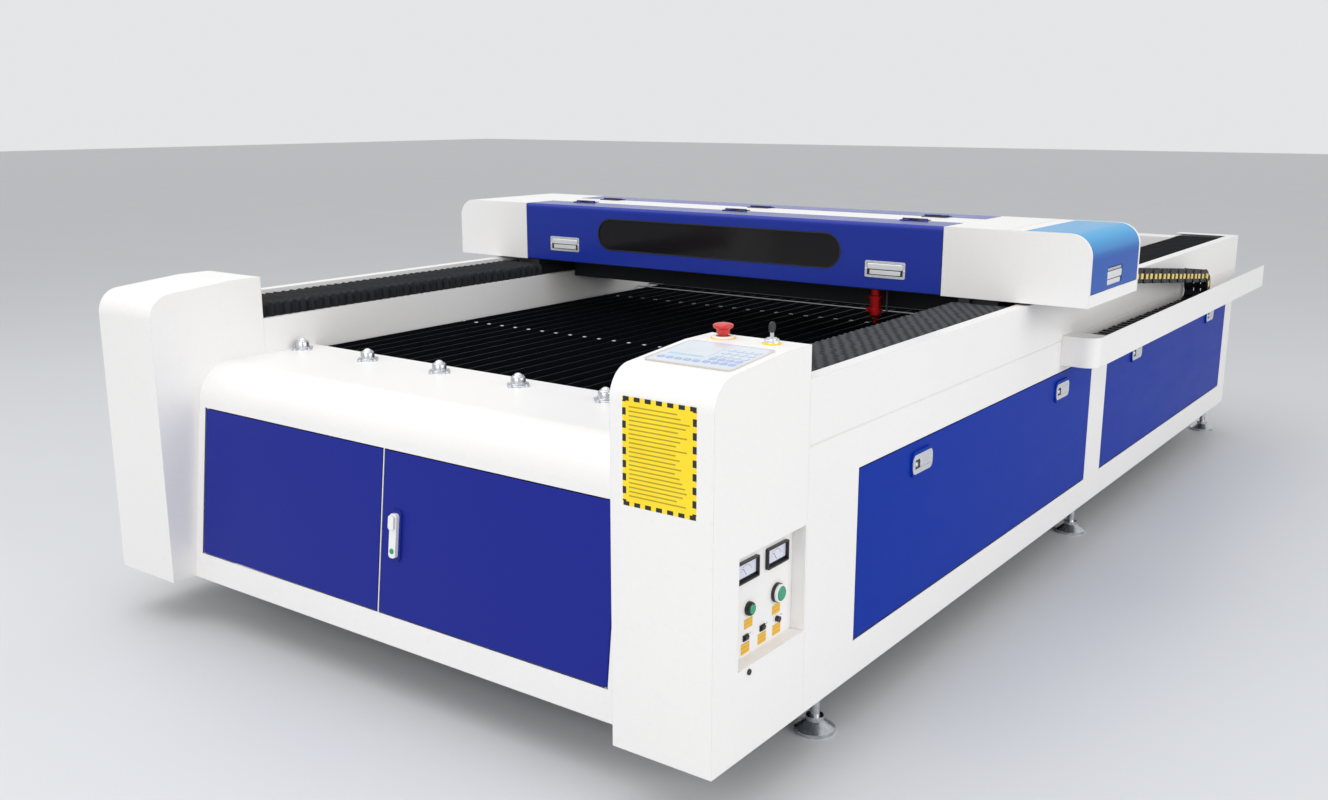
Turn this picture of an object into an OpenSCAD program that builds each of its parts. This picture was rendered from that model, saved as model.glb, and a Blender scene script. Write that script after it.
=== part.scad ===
// Large flatbed carbon dioxide laser cutter: a moving gantry over a knife-slat bed.
// X runs across the bed, Y from the front to the rear, Z up. The floor is at Z = 0.

/* [Body] */
// Width over the two side sheets
body_w = 1940; // [1800:10:2300]
// Length from the front of the towers to the rear sheet
body_l = 3900; // [3700:10:4400]
// Width of each side channel and of each tower
side_w = 233; // [225:1:245]
// Height of the underside of the sheets above the floor
under_h = 120; // [100:5:150]
// Height of the table top and of the front beam
table_h = 685; // [670:1:700]
// Height of the inner walls above the table
wall_over = 96; // [85:1:105]
// Height of the side sheets above the table, which the gantry passes over
side_over = 142; // [137:1:155]
// Thickness of the sheet metal
sheet = 2; // [1.5:0.5:3]

/* [Front] */
// Setback of the front sheet at its lower edge
front_in = 67; // [40:1:80]
// Lean of the front sheet, in degrees
front_lean = 6.5; // [3:0.5:8]
// Radius of the bullnose under the front beam's top
beam_r = 96; // [60:1:110]
// Depth from the front of the towers to the bed
bed_in = 506; // [480:1:540]
// Lower edge of the doors, measured up the lean
door_low = 69; // [50:1:90]
// Height of the white front beam above the doors
door_over = 108; // [100:1:150]
// Margin between the doors and the towers
door_edge = 25; // [20:1:40]
// Gap round each door and panel
door_gap = 3; // [2:0.5:5]
// Depth of the folded edge of a door or panel
fold_in = 20; // [15:1:30]
// Height of the door's swing handle
handle_h = 104; // [90:1:130]

/* [Towers] */
// Depth of each tower
tower_d = 336; // [320:1:350]
// Height of each tower's rear above the table
tower_over = 210; // [200:1:225]
// Drop of the sloping top from its break to the front bullnose
tower_drop = 15; // [8:1:24]
// Depth of the flat rear part of the top
tower_flat = 94; // [80:1:120]
// Radius of the tower's front bullnose
tower_r = 62; // [50:1:70]

/* [Controls] */
// Depth of the control recess
recess_in = 30; // [20:1:35]
// Front edge of the recess
recess_y = 87; // [80:1:95]
// Length of the recess
recess_l = 244; // [236:1:245]
// Lower edge of the recess
recess_z = 305; // [280:1:320]
// Height of the recess
recess_tall = 225; // [215:1:260]
// Diameter of the emergency stop head
estop_d = 42; // [38:1:46]
// Diameter of the power button
power_d = 34; // [30:1:36]
// Diameter of the laser button
laser_d = 24; // [22:1:28]
// Width and height of a panel meter
meter_w = 79; // [64:1:80]
meter_h = 43; // [40:1:50]

/* [Side panels] */
// Front edge of the first side panel
panel_in = 551; // [540:1:600]
// Front edge of the post between the two panels of a side
post_y = 2081; // [2050:1:2110]
// Width of that post
panel_post = 150; // [120:1:200]
// Margin behind the second panel
panel_back = 109; // [90:1:140]
// Lower edge of the side panels
panel_z = 205; // [190:1:230]
// Margin between the side panels and the top of the frame
panel_over = 82; // [79:1:130]

/* [Bed] */
// Pitch of the slats
slat_pitch = 55; // [45:1:70]
// Thickness of a slat
slat_t = 4; // [2:0.5:5]
// Height of a slat
slat_h = 40; // [30:1:45]
// Pitch of the cross bars that carry the slats
bar_pitch = 738; // [600:1:760]
// Height of a cross bar
bar_h = 60; // [50:1:64]
// Margin between the last ball transfer unit and the tower
ball_edge = 37; // [30:1:80]
// Diameter of a transfer ball
ball_d = 25; // [20:1:30]

/* [Gantry] */
// Front face of the gantry at rest
gantry_y = 1491; // [1480:1:1520]
// Depth of the gantry
gantry_d = 428; // [420:1:450]
// Overhang of the gantry past each side sheet
gantry_over = 159; // [140:1:180]
// Height of the gantry's housing
gantry_tall = 191; // [185:1:200]
// Running gap over the side sheets
gantry_gap = 6; // [4:1:8]
// Left end of the blue covers
cover_left = 815; // [800:1:830]
// Width of the blue covers
cover_w = 1536; // [1500:2:1540]
// Depth of the front cover's top
cover_top = 139; // [130:1:145]
// Width of the fixed strip between the covers
spine_w = 150; // [140:1:156]
// Radius of the end covers' shoulder
end_r = 60; // [40:1:70]
// Length of the window in the front cover
window_l = 904; // [700:2:1000]
// Height of the window
window_h = 103; // [80:1:110]
// Distance of the head from the gantry's front face
head_in = 61; // [56:1:64]
// Place of the head across the bed at rest
head_x = 493; // [300:1:600]
// Diameter of the laser tube
tube_d = 80; // [60:1:84]
// Length of the laser tube
tube_l = 1500; // [1200:10:1560]

/* [Bellows and chain] */
// Height of the bellows' top
bellows_h = 820; // [816:1:822]
// Length of one fold of the bellows
fold_pitch = 58; // [50:1:80]
// Depth of a fold
fold_deep = 8; // [4:0.5:9]
// Height of the chain links
link_h = 30; // [26:1:34]
// Pitch of the chain links
link_pitch = 44; // [40:1:50]
// Width of the chain
link_w = 80; // [60:1:84]
// Bend radius of the chain at the middle of its links
chain_r = 56; // [50:1:60]
// Front end of the chain tray
tray_y = 1785; // [1760:5:1850]
// Width of the chain tray
tray_w = 102; // [96:1:110]
// Height of the chain tray
tray_tall = 87; // [70:1:95]
// Reach of the chain tray behind the rear sheet
tray_back = 45; // [10:1:80]

/* [Hidden] */
$fn = 48;
fit = 0.05;
run_gap = 0.3;

// Reference planes
xo = body_w / 2;
xi = xo - side_w;
tray_end = body_l + tray_back;
mid_y = tray_end / 2;
frame_t = 60;
frame_x = xo - sheet;
frame_top = table_h - 5;
wall_h = table_h + wall_over;
side_h = table_h + side_over;
tower_h = table_h + tower_over;
panel_tall = frame_top - panel_over - panel_z;
door_tall = (table_h - door_over - under_h) / cos(front_lean) - door_low;

// Front sheet: a straight leaning part, then a bullnose, then the flat beam top
beam_cz = table_h - beam_r;
beam_cy = front_in + (beam_cz - under_h) * tan(front_lean) + beam_r / cos(front_lean);
door_left = xi - door_edge;
door_w = xi - 2 * door_edge;
door_mid = -door_left + door_w + door_gap / 2;
door_right = 2 * door_mid + door_left;

// Tower top: flat, then sloping, then a bullnose
tower_break = tower_d - tower_flat;
slope_a = atan2(tower_drop + tower_r, tower_break - tower_r)
    - asin(tower_r / norm([tower_drop + tower_r, tower_break - tower_r]));
tower_cz = tower_h - tower_drop - tower_r;
keypad_l = 156;
keypad_w = 192;
keypad_in = 8;
switch_y = tower_break + tower_flat * 0.57;
estop_x = xo - 179;
key_x = xo - 66;

// Control recess
panel_x = xo - recess_in;
meter_y = [recess_y + 70, recess_y + 180];
meter_z = recess_z + 177;
power_y = recess_y + 184;
laser_y = recess_y + 81;
button_z = recess_z + 96;
toggle_y = [recess_y + 71, recess_y + 132, recess_y + 187];
toggle_z = recess_z + 39;

// Side panels
panel_front = [panel_in, post_y + panel_post];
panel_long = [post_y - panel_in, body_l - panel_back - post_y - panel_post];
post_mid = post_y + panel_post / 2;
hinge_r = 3;
roll_r = 4.5;
roll_pin = 2.5;
latch_in = [308, 276];
latch_drop = 55;
latch_l = 104;
latch_w = 62;

// Rear of the front cabinet, where the first frame ring stands
cabinet_y = panel_in - 71;
cabinet_z = under_h + frame_t;

// Bed
wall_t = 3;
wall_low = table_h - 85;
slat_n = floor((2 * xi - 30) / slat_pitch);
slat_front = bed_in + 6;
slat_back = body_l - 114;
bar_t = 12;
bar_front = 1128;
bar_ys = concat([slat_front + 48], [for (i = [0 : 3]) bar_front + i * bar_pitch], [slat_back - 40]);
slot_deep = 10;
joint_y = 2091;

// Rails, belts and their drive, mirrored to both sides
floor_z = frame_top + 6;
rail_x = xi + 113;
rail_w = 24;
rail_h = 30;
belt_x = xi + 158;
belt_w = 20;
pulley_r = 20;
belt_t = 2;
belt_z = floor_z + 54;
idler_y = tower_d + 64;
shaft_y = body_l - 55;
shaft_r = 8;
pin_r = 6;
bellows_in = xi + 8;
bellows_out = xo - 37;

// Gantry
gz = side_h + gantry_gap;
gtop = gz + gantry_tall;
g_back = gantry_y + gantry_d;
gx = xo + gantry_over;
cx0 = -cover_left;
cx1 = cx0 + cover_w;
cover_mid = (cx0 + cx1) / 2;
pan_t = 3;
pan_z = gz + pan_t;
truck_y = gantry_y + 9;
truck_l = gantry_d - 18;
spine_y = gantry_y + cover_top;
front_axis = [spine_y, gtop + 2];
rear_axis = [spine_y + spine_w, gtop + 2];
hinge_xs = [for (i = [-1 : 1]) cover_mid + i * 617];
hinge_l = 78;
hinge_pin = 2.5;
beam_y = gantry_y + 149;
beam_w = 120;
beam_tall = 60;
beam_top = pan_z + beam_tall;
tube_y = gantry_y + 345;
tube_z = beam_top + tube_d / 2 + 4;
head_y = gantry_y + head_in;
nozzle_z = table_h + 41;
drop_z = 765;
xbelt_z = beam_top + 29;
xpulley_r = 18;
xpulley_x = 770;
xbelt_y = beam_y - 32;
xbelt_w = 15;
end_open = 234;
cup_in = 12;
end_pull_y = gantry_y + 209;
end_pull_z = gz + 69;
pull_x = cover_w / 2 - 172;
pull_z = gz + 60;
rim = 12;
skirt = 33;

// Cable chain
chain_x = xo + tray_w / 2 - 1;
tray_z = side_h - 209;
lower_z = tray_z + sheet + link_h / 2;
bend_z = lower_z + chain_r;
upper_z = bend_z + chain_r;
upper_rise = gz + 16 + link_h / 2 - upper_z;
bend_y = 3000;
chain_start = g_back + 4;
chain_fixed = tray_y + 90;
plate_t = 5;

white = [0.93, 0.92, 0.91];
blue = [0.16, 0.25, 0.62];
black = [0.10, 0.10, 0.11];
steel = [0.72, 0.73, 0.75];

// ---- helpers ----

// Moves a piece from the front of the machine to the part's own origin
module placed(c) {
    color(c) translate([0, -mid_y, 0]) children();
}

// A box between two corners
module span(a, b) {
    translate(a) cube(b - a);
}

// The same shape on both sides of the bed
module both_sides() {
    children();
    mirror([1, 0, 0]) children();
}

// A rectangle with round corners, centred
module round_rect(w, h, r) {
    square([w - 2 * r, h], center = true);
    square([w, h - 2 * r], center = true);
    for (x = [-1, 1], y = [-1, 1]) translate([x * (w / 2 - r), y * (h / 2 - r)]) circle(r);
}

// A slot with half-round ends, centred
module stadium(l, h) {
    square([l - h, h], center = true);
    for (x = [-1, 1]) translate([x * (l - h) / 2, 0]) circle(h / 2);
}

// Stands a profile drawn as [y, z] upright and runs it along X
module along_x(x0, x1) {
    translate([x0, 0, 0]) rotate([90, 0, 90]) linear_extrude(x1 - x0) children();
}

// Stands a profile drawn as [x, z] upright and runs it along Y
module along_y(y0, y1) {
    translate([0, y1, 0]) rotate([90, 0, 0]) linear_extrude(y1 - y0) children();
}

// A round bar along X
module rod_x(x0, x1, y, z, r) {
    translate([x0, y, z]) rotate([0, 90, 0]) cylinder(r = r, h = x1 - x0);
}

// A round bar along Y
module rod_y(y0, y1, x, z, r) {
    translate([x, y0, z]) rotate([-90, 0, 0]) cylinder(r = r, h = y1 - y0);
}

// Leaning plane of the front sheet: X across, Y into the machine, Z up the lean
module on_front() {
    translate([0, front_in, under_h]) rotate([-front_lean, 0, 0]) children();
}

// ---- frame, feet and sheets ----

module frame_ring(y) {
    span([-frame_x, y, under_h], [frame_x, y + frame_t, under_h + frame_t]);
    span([-frame_x, y, frame_top - 180], [frame_x, y + frame_t, frame_top - 120]);
    both_sides() span([frame_x - frame_t, y, under_h], [frame_x, y + frame_t, frame_top]);
}

// Tubes that carry the right tower
module tower_frame() {
    for (y = [front_in + 60, cabinet_y - frame_t])
        span([xi + 20, y, under_h], [frame_x, y + frame_t, under_h + frame_t]);
    span([xi + 20, front_in + 60, under_h], [xi + 80, cabinet_y, under_h + frame_t]);
}

module base_frame() {
    placed([0.55, 0.56, 0.58]) {
        for (y = [cabinet_y, post_mid - frame_t / 2, body_l - 70]) frame_ring(y);
        both_sides() {
            span([frame_x - frame_t, cabinet_y, under_h], [frame_x, body_l - 10, under_h + frame_t]);
            span([frame_x - frame_t, cabinet_y, frame_top - frame_t], [frame_x, body_l - 10, frame_top]);
        }
        span([-frame_x, body_l - 70, frame_top - frame_t], [frame_x, body_l - 10, frame_top]);
        both_sides() tower_frame();
        // floor of the front cabinet
        span([-xi, front_in + 70, cabinet_z - 2], [xi, cabinet_y + 5, cabinet_z]);
    }
}

module levelling_feet() {
    placed([0.80, 0.81, 0.82]) both_sides() for (y = [cabinet_y + 15, post_mid + 12, body_l - 60])
        translate([frame_x - frame_t / 2 - 26, y, 0]) {
            rotate_extrude() polygon([[0, 0], [46, 0], [46, 8], [40, 12], [20, 26], [20, 36], [0, 36]]);
            cylinder(r = 11, h = under_h);
            translate([0, 0, under_h - 26]) cylinder(r = 19, h = 12, $fn = 6);
        }
}

// Region behind the front sheet, drawn as [y, z] and drawn in by one sheet for the inside
module beam_region(inset, low, back) {
    r = beam_r - inset;
    line_y = front_in + inset / cos(front_lean);
    polygon([
        [line_y + (low - under_h) * tan(front_lean), low],
        [beam_cy - r * cos(front_lean), beam_cz + r * sin(front_lean)],
        [beam_cy, table_h - inset], [back, table_h - inset], [back, low]
    ]);
    translate([beam_cy, beam_cz]) circle(r, $fn = 96);
}

module front_fascia() {
    placed(white) {
        difference() {
            along_x(-xi, xi) difference() {
                beam_region(0, under_h, bed_in);
                beam_region(sheet, under_h - 5, bed_in + 5);
            }
            on_front() for (x = [-door_left, door_mid + door_gap / 2])
                span([x, -10, door_low], [x + door_w, fold_in + 20, door_low + door_tall]);
        }
        // folded edge at the bed and hinge pins of both doors
        span([-xi, bed_in - sheet, wall_low], [xi, bed_in, table_h - sheet]);
        on_front() for (x = [-door_left + roll_r + door_gap, door_right - roll_r - door_gap],
                        z = [door_low - 8, door_low + door_tall - 14])
            translate([x, roll_r, z]) cylinder(r = roll_pin, h = 22);
        on_front() for (x = [-door_left + roll_r + door_gap, door_right - roll_r - door_gap],
                        z = [door_low - 8, door_low + door_tall + 2])
            span([x - 4, 1, z], [x + 4, 8, z + 6]);
    }
}

// Side outline of a tower, drawn as [y, z] and drawn in by inset
module tower_outline(inset, low) {
    r = tower_r - inset;
    top = tower_h - inset;
    polygon([
        [inset, low], [inset, tower_cz], [tower_r - r * sin(slope_a), tower_cz + r * cos(slope_a)],
        [tower_break, top], [tower_d - inset, top], [tower_d - inset, low]
    ]);
    translate([tower_r, tower_cz]) circle(r, $fn = 96);
}

module tower_shell() {
    difference() {
        along_x(xi, xo) tower_outline(0, under_h);
        along_x(xi + sheet, xo - sheet) tower_outline(sheet, under_h - 5);
        tower_frame();
    }
    // folded lip round the open foot
    difference() {
        span([xi + 1, 1, under_h], [xo - 1, tower_d - 1, under_h + sheet]);
        span([xi + 22, 22, under_h - 1], [xo - 22, tower_d - 22, under_h + sheet + 1]);
        tower_frame();
    }
}

module left_tower() {
    placed(white) mirror([1, 0, 0]) tower_shell();
}

module control_tower() {
    placed(white) difference() {
        union() {
            tower_shell();
            span([panel_x - sheet, recess_y - sheet, recess_z - sheet],
                 [xo - sheet, recess_y + recess_l + sheet, recess_z + recess_tall + sheet]);
        }
        span([panel_x, recess_y, recess_z], [xo + 5, recess_y + recess_l, recess_z + recess_tall]);
        // holes for the switches
        translate([estop_x, switch_y, tower_h - 10]) cylinder(r = 11, h = 20);
        translate([key_x, switch_y, tower_h - 10]) cylinder(r = 11, h = 20);
        rod_x(panel_x - 10, panel_x + 10, power_y, button_z, 11);
        rod_x(panel_x - 10, panel_x + 10, laser_y, button_z, 8);
    }
}

module side_skin() {
    difference() {
        union() {
            span([xo - sheet, tower_d, under_h], [xo, body_l, side_h]);
            span([xo - 34, tower_d, side_h - sheet], [xo, body_l - sheet, side_h]);
            span([xo - 34, tower_d, side_h - 14], [xo - 34 + sheet, body_l - sheet, side_h]);
        }
        for (i = [0, 1]) span([xo - 5, panel_front[i], panel_z],
                              [xo + 5, panel_front[i] + panel_long[i], panel_z + panel_tall]);
        // joint line between the upper and the lower sheet
        span([xo - 0.8, tower_d - 1, table_h + 4], [xo + 1, body_l + 1, table_h + 7]);
    }
    // folded lips and hinge pins at the lower corners of each panel
    for (i = [0, 1]) let (y = panel_front[i], e = panel_front[i] + panel_long[i]) {
        span([xo - 26, y - 10, panel_z - 6], [xo - sheet, y - 4, panel_z + 16]);
        span([xo - 26, e + 4, panel_z - 6], [xo - sheet, e + 10, panel_z + 16]);
        rod_y(y - 6, y + 14, xo - hinge_r, panel_z + hinge_r + door_gap, 1.5);
        rod_y(e - 14, e + 6, xo - hinge_r, panel_z + hinge_r + door_gap, 1.5);
    }
}

module left_side_skin() {
    placed(white) mirror([1, 0, 0]) side_skin();
}

module right_side_skin() {
    placed(white) side_skin();
}

module rear_skin() {
    placed(white) {
        difference() {
            span([-xo + sheet, body_l - sheet, under_h], [xo - sheet, body_l, side_h - 14]);
            for (x = [-420, 420]) rod_y(body_l - 10, body_l + 10, x, 420, 98);
            for (i = [0 : 7]) span([-110, body_l - 10, 300 + i * 22], [110, body_l + 10, 310 + i * 22]);
        }
        span([-xi + wall_t, body_l - 110, side_h - 14 - sheet], [xi - wall_t, body_l, side_h - 14]);
        span([-xi + wall_t, body_l - 110, wall_low], [xi - wall_t, body_l - 110 + sheet, side_h - 14]);
        for (x = [-420, 420]) difference() {
            rod_y(body_l - sheet, body_l + 40, x, 420, 100);
            rod_y(body_l - 10, body_l + 50, x, 420, 98);
        }
        for (s = [-1, 1]) span([s > 0 ? xi : -xo + 34, body_l - 60, side_h - sheet],
                               [s > 0 ? xo - 34 : -xi, body_l, side_h]);
        for (s = [-1, 1]) span([s > 0 ? xi : -xo + 34, body_l - sheet, side_h - 14],
                               [s > 0 ? xo - 34 : -xi, body_l, side_h]);
    }
}

// ---- bed ----

module rail_channels() {
    placed([0.90, 0.90, 0.90]) both_sides() {
        difference() {
            along_y(tower_d, body_l - sheet) polygon([
                [xi, wall_low], [xi + wall_t, wall_low], [xi + wall_t, floor_z - 6], [frame_x, floor_z - 6],
                [frame_x, floor_z], [xi + wall_t, floor_z], [xi + wall_t, wall_h - wall_t],
                [xi + 20, wall_h - wall_t], [xi + 20, wall_h], [xi, wall_h]
            ]);
            span([xi - 5, body_l - 110 + sheet, floor_z], [xi + 30, body_l, wall_h + 5]);
            span([xi - 5, body_l - 70, frame_top - frame_t], [xi + 30, body_l - 10, frame_top]);
        }
        // fork and pin of the front idler, bearing block of the drive shaft
        difference() {
            span([belt_x - 24, idler_y - 14, floor_z], [belt_x + 20, idler_y + 14, belt_z + 12]);
            span([belt_x - belt_w / 2 - 1, idler_y - 20, floor_z + 8], [belt_x + belt_w / 2 + 1, idler_y + 20, belt_z + 20]);
        }
        rod_x(belt_x - 24, belt_x + 20, idler_y, belt_z, pin_r);
        difference() {
            span([rail_x - 12, shaft_y - 18, floor_z], [rail_x + 12, shaft_y + 18, belt_z + 18]);
            rod_x(rail_x - 20, rail_x + 20, shaft_y, belt_z, shaft_r + fit);
        }
    }
}

module knife_slats() {
    placed(black) for (i = [0 : slat_n - 1])
        translate([(i - (slat_n - 1) / 2) * slat_pitch - slat_t / 2, slat_front, table_h - slat_h])
            cube([slat_t, slat_back - slat_front, slat_h]);
}

module slat_supports() {
    placed([0.20, 0.20, 0.21]) {
        for (y = bar_ys) difference() {
            span([-xi, y - bar_t / 2, table_h - slat_h + slot_deep - bar_h],
                 [xi, y + bar_t / 2, table_h - slat_h + slot_deep]);
            for (i = [0 : slat_n - 1])
                translate([(i - (slat_n - 1) / 2) * slat_pitch, y, table_h - slat_h + slot_deep / 2 + 1])
                    cube([slat_t + 2 * fit, bar_t + 4, slot_deep + 2], center = true);
        }
        span([-xi + 2, joint_y - 5, table_h], [xi - 2, joint_y + 5, table_h + 3]);
    }
}

module scrap_tray() {
    placed([0.16, 0.16, 0.17]) difference() {
        span([-xi + 4, bed_in + 4, frame_top - 120], [xi - 4, body_l - 114, frame_top - 96]);
        span([-xi + 4 + sheet, bed_in + 4 + sheet, frame_top - 120 + sheet],
             [xi - 4 - sheet, body_l - 114 - sheet, frame_top]);
    }
}

module y_rails() {
    placed(steel) both_sides() along_y(tower_d + 10, body_l - 90) translate([rail_x, floor_z + rail_h / 2])
        difference() {
            square([rail_w, rail_h], center = true);
            for (s = [-1, 1]) translate([s * (rail_w / 2 + 2), 3]) circle(5);
        }
}

// A closed belt loop round two pulleys, drawn flat with its axles l apart
module belt_loop(l, r) {
    difference() {
        hull_loop(l, r + belt_t);
        hull_loop(l, r);
    }
}

module hull_loop(l, r) {
    translate([0, -r]) square([l, 2 * r]);
    circle(r);
    translate([l, 0]) circle(r);
}

module y_belts() {
    placed(black) both_sides() along_x(belt_x - belt_w / 2, belt_x + belt_w / 2)
        translate([idler_y, belt_z]) belt_loop(shaft_y - idler_y, pulley_r + run_gap);
}

module y_motor() {
    placed([0.15, 0.15, 0.16]) difference() {
        union() {
            span([-70, shaft_y - 43, belt_z - 43], [50, shaft_y + 43, belt_z + 43]);
            span([50, shaft_y - 30, belt_z - 30], [62, shaft_y + 30, belt_z + 30]);
            span([-50, shaft_y - 30, frame_top], [30, shaft_y + 30, belt_z - 43]);
        }
        rod_x(-100, 100, shaft_y, belt_z, shaft_r + fit);
    }
}

module y_drive_shaft() {
    placed(steel) {
        rod_x(-belt_x - 12, belt_x + 12, shaft_y, belt_z, shaft_r);
        both_sides() rod_x(belt_x - belt_w / 2 - 1, belt_x + belt_w / 2 + 1, shaft_y, belt_z, pulley_r);
    }
}

module belt_idlers() {
    placed(steel) both_sides() difference() {
        rod_x(belt_x - belt_w / 2 - 0.6, belt_x + belt_w / 2 + 0.6, idler_y, belt_z, pulley_r);
        rod_x(belt_x - belt_w, belt_x + belt_w, idler_y, belt_z, pin_r + fit);
    }
}

module ball_transfers() {
    placed([0.85, 0.85, 0.86]) for (i = [-1 : 0.4 : 1.01]) translate([i * (xi - ball_edge), bed_in - 52, table_h]) {
        difference() {
            union() {
                rotate_extrude() polygon([[0, 0], [27, 0], [27, 4], [19, 6], [18, 20], [13.5, 25], [0, 25]]);
                for (a = [0 : 90 : 270]) rotate([0, 0, a]) translate([0, -5, 0]) cube([33, 10, 9]);
            }
            translate([0, 0, 19]) sphere(ball_d / 2 + 0.4);
        }
        translate([0, 0, 19]) sphere(ball_d / 2);
    }
}

// ---- cable chain and its tray ----

module chain_tray() {
    placed(white) difference() {
        union() {
            along_y(tray_y, tray_end) polygon([
                [xo, tray_z], [xo + tray_w, tray_z], [xo + tray_w, tray_z + tray_tall],
                [xo + tray_w - sheet, tray_z + tray_tall], [xo + tray_w - sheet, tray_z + sheet], [xo, tray_z + sheet]
            ]);
            linear_extrude_up(tray_z, tray_z + tray_tall) difference() {
                tray_nose(0);
                tray_nose(sheet);
            }
            linear_extrude_up(tray_z + tray_tall - sheet, tray_z + tray_tall) tray_nose(0);
        }
        difference() {
            span([xo - 1, tray_y - 1, tray_z - 1], [xo + tray_w + 1, tray_y + 45, tray_z + tray_tall + 1]);
            linear_extrude_up(tray_z - 2, tray_z + tray_tall + 2) tray_nose(0);
        }
    }
}

module linear_extrude_up(z0, z1) {
    translate([0, 0, z0]) linear_extrude(z1 - z0) children();
}

// Plan of the tray's closed nose with its round corner
module tray_nose(inset) {
    r = 40 - inset;
    translate([xo, tray_y + 40]) square([tray_w - inset, 40]);
    translate([xo, tray_y + inset]) square([tray_w - 40, 41]);
    translate([xo + tray_w - 40, tray_y + 40]) circle(r);
}

// One link of the chain, lying along Y about its own centre; odd links sit inside even ones
module chain_link(odd) {
    w = link_w - odd * 2 * (plate_t + run_gap);
    for (s = [-1, 1]) translate([s * (w - plate_t) / 2, 0, 0]) rotate([90, 0, 90])
        translate([0, 0, -plate_t / 2]) linear_extrude(plate_t) stadium(link_pitch + link_h * 0.55, link_h * 0.8);
    for (s = [-1, 1]) translate([0, 0, s * (link_h / 2 - 1.5)]) cube([w, link_pitch * 0.42, 3], center = true);
}

// A straight run of links between two points [y, z]
module chain_run(a, b) {
    d = b - a;
    n = max(2, round(norm(d) / link_pitch));
    tilt = atan2(d[1], d[0]);
    for (i = [0 : n - 1]) let (p = a + d * (i + 0.5) / n)
        translate([chain_x, p[0], p[1]]) rotate([tilt, 0, 0]) chain_link(i % 2);
}

module chain_lower() {
    placed(black) {
        chain_run([chain_fixed, lower_z], [bend_y, lower_z]);
        span([chain_x - 30, chain_fixed - 26, tray_z + sheet], [chain_x + 30, chain_fixed - 4, tray_z + sheet + 22]);
    }
}

module chain_bend() {
    n = 4;
    placed(black) for (i = [0 : n - 1]) let (a = -90 + (i + 0.5) * 180 / n)
        translate([chain_x, bend_y + 18 + chain_r * cos(a), bend_z + chain_r * sin(a)])
            rotate([a + 90, 0, 0]) chain_link(i % 2);
}

module chain_upper() {
    placed(black) {
        chain_run([chain_start + 8, upper_z + upper_rise], [bend_y, upper_z + 2]);
        span([chain_x - 40, g_back, upper_z + upper_rise - 18], [chain_x + 40, g_back + 6, upper_z + upper_rise + 18]);
    }
}

// ---- controls ----

module keypad_panel() {
    placed([0.82, 0.86, 0.90]) translate([(xi + xo) / 2, tower_break, tower_h]) rotate([slope_a, 0, 0])
        translate([0, -keypad_l / 2 - keypad_in, 0.1]) {
            linear_extrude(2) round_rect(keypad_w, keypad_l, 8);
            translate([-keypad_w * 0.2, 6, 2]) linear_extrude(1) round_rect(keypad_w * 0.46, keypad_l * 0.58, 3);
            for (i = [0 : 3], j = [0 : 4]) translate([keypad_w * 0.12 + i * 19, -46 + j * 22, 2])
                linear_extrude(1.2) round_rect(13, 13, 3);
            for (i = [0 : 4]) translate([-keypad_w * 0.4 + i * 20, -50, 2]) linear_extrude(1.2) round_rect(14, 10, 3);
        }
}

// A round collar standing on the tower's top
module top_collar(x, r, h) {
    translate([x, switch_y, tower_h]) difference() {
        cylinder(r = r, h = h);
        translate([0, 0, -1]) cylinder(r = 10 + fit, h = h + 2);
    }
}

// A round collar standing on the recess panel
module side_collar(y, r, bore, h) {
    difference() {
        rod_x(panel_x, panel_x + h, y, button_z, r);
        rod_x(panel_x - 1, panel_x + h + 1, y, button_z, bore + fit);
    }
}

module switch_bezels() {
    placed([0.12, 0.12, 0.13]) {
        top_collar(estop_x, 20, 4);
        top_collar(key_x, 15, 9);
        side_collar(power_y, power_d / 2 + 3, 10, 7);
        side_collar(laser_y, laser_d / 2 + 2, 7, 6);
        rod_x(panel_x, panel_x + 8, toggle_y[2], toggle_z, 6);
        for (y = [toggle_y[0], toggle_y[1]]) {
            span([panel_x, y - 9, toggle_z - 6], [panel_x + 3, y + 9, toggle_z + 6]);
            translate([panel_x + 3, y, toggle_z]) rotate([0, 12, 0]) translate([-2, -6, -4]) cube([5, 12, 8]);
        }
        rod_x(xo, xo + 3, recess_y + 38, recess_z - 12, 6);
    }
}

module panel_meters() {
    placed([0.08, 0.08, 0.09]) for (y = meter_y) difference() {
        translate([panel_x, y, meter_z]) rotate([90, 0, 90]) linear_extrude(14) round_rect(meter_w, meter_h, 3);
        translate([panel_x + 9, y, meter_z + 3]) rotate([90, 0, 90]) linear_extrude(9)
            round_rect(meter_w - 12, meter_h - 14, 2);
    }
}

module estop_button() {
    placed([0.82, 0.10, 0.10]) translate([estop_x, switch_y, tower_h]) {
        rotate_extrude() polygon([
            [0, 12], [13.5, 12], [14, 26], [estop_d / 2 - 1, 32], [estop_d / 2, 37],
            [estop_d / 2 - 3, 42], [8, 45], [0, 45.5]
        ]);
        translate([0, 0, -18]) cylinder(r = 10, h = 31);
    }
}

module key_barrel() {
    placed([0.75, 0.76, 0.78]) translate([key_x, switch_y, tower_h]) {
        translate([0, 0, -18]) cylinder(r = 10, h = 30);
        translate([-1.2, -5, 12]) cube([2.4, 10, 14]);
        translate([0, 0, 32]) rotate([90, 0, 90]) translate([0, 0, -1.2]) cylinder(r = 10, h = 2.4);
    }
}

module power_button() {
    placed([0.05, 0.55, 0.42]) {
        rod_x(panel_x - 16, panel_x + 13, power_y, button_z, 10);
        rod_x(panel_x + 12, panel_x + 24, power_y, button_z, power_d / 2 - 2);
    }
}

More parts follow.
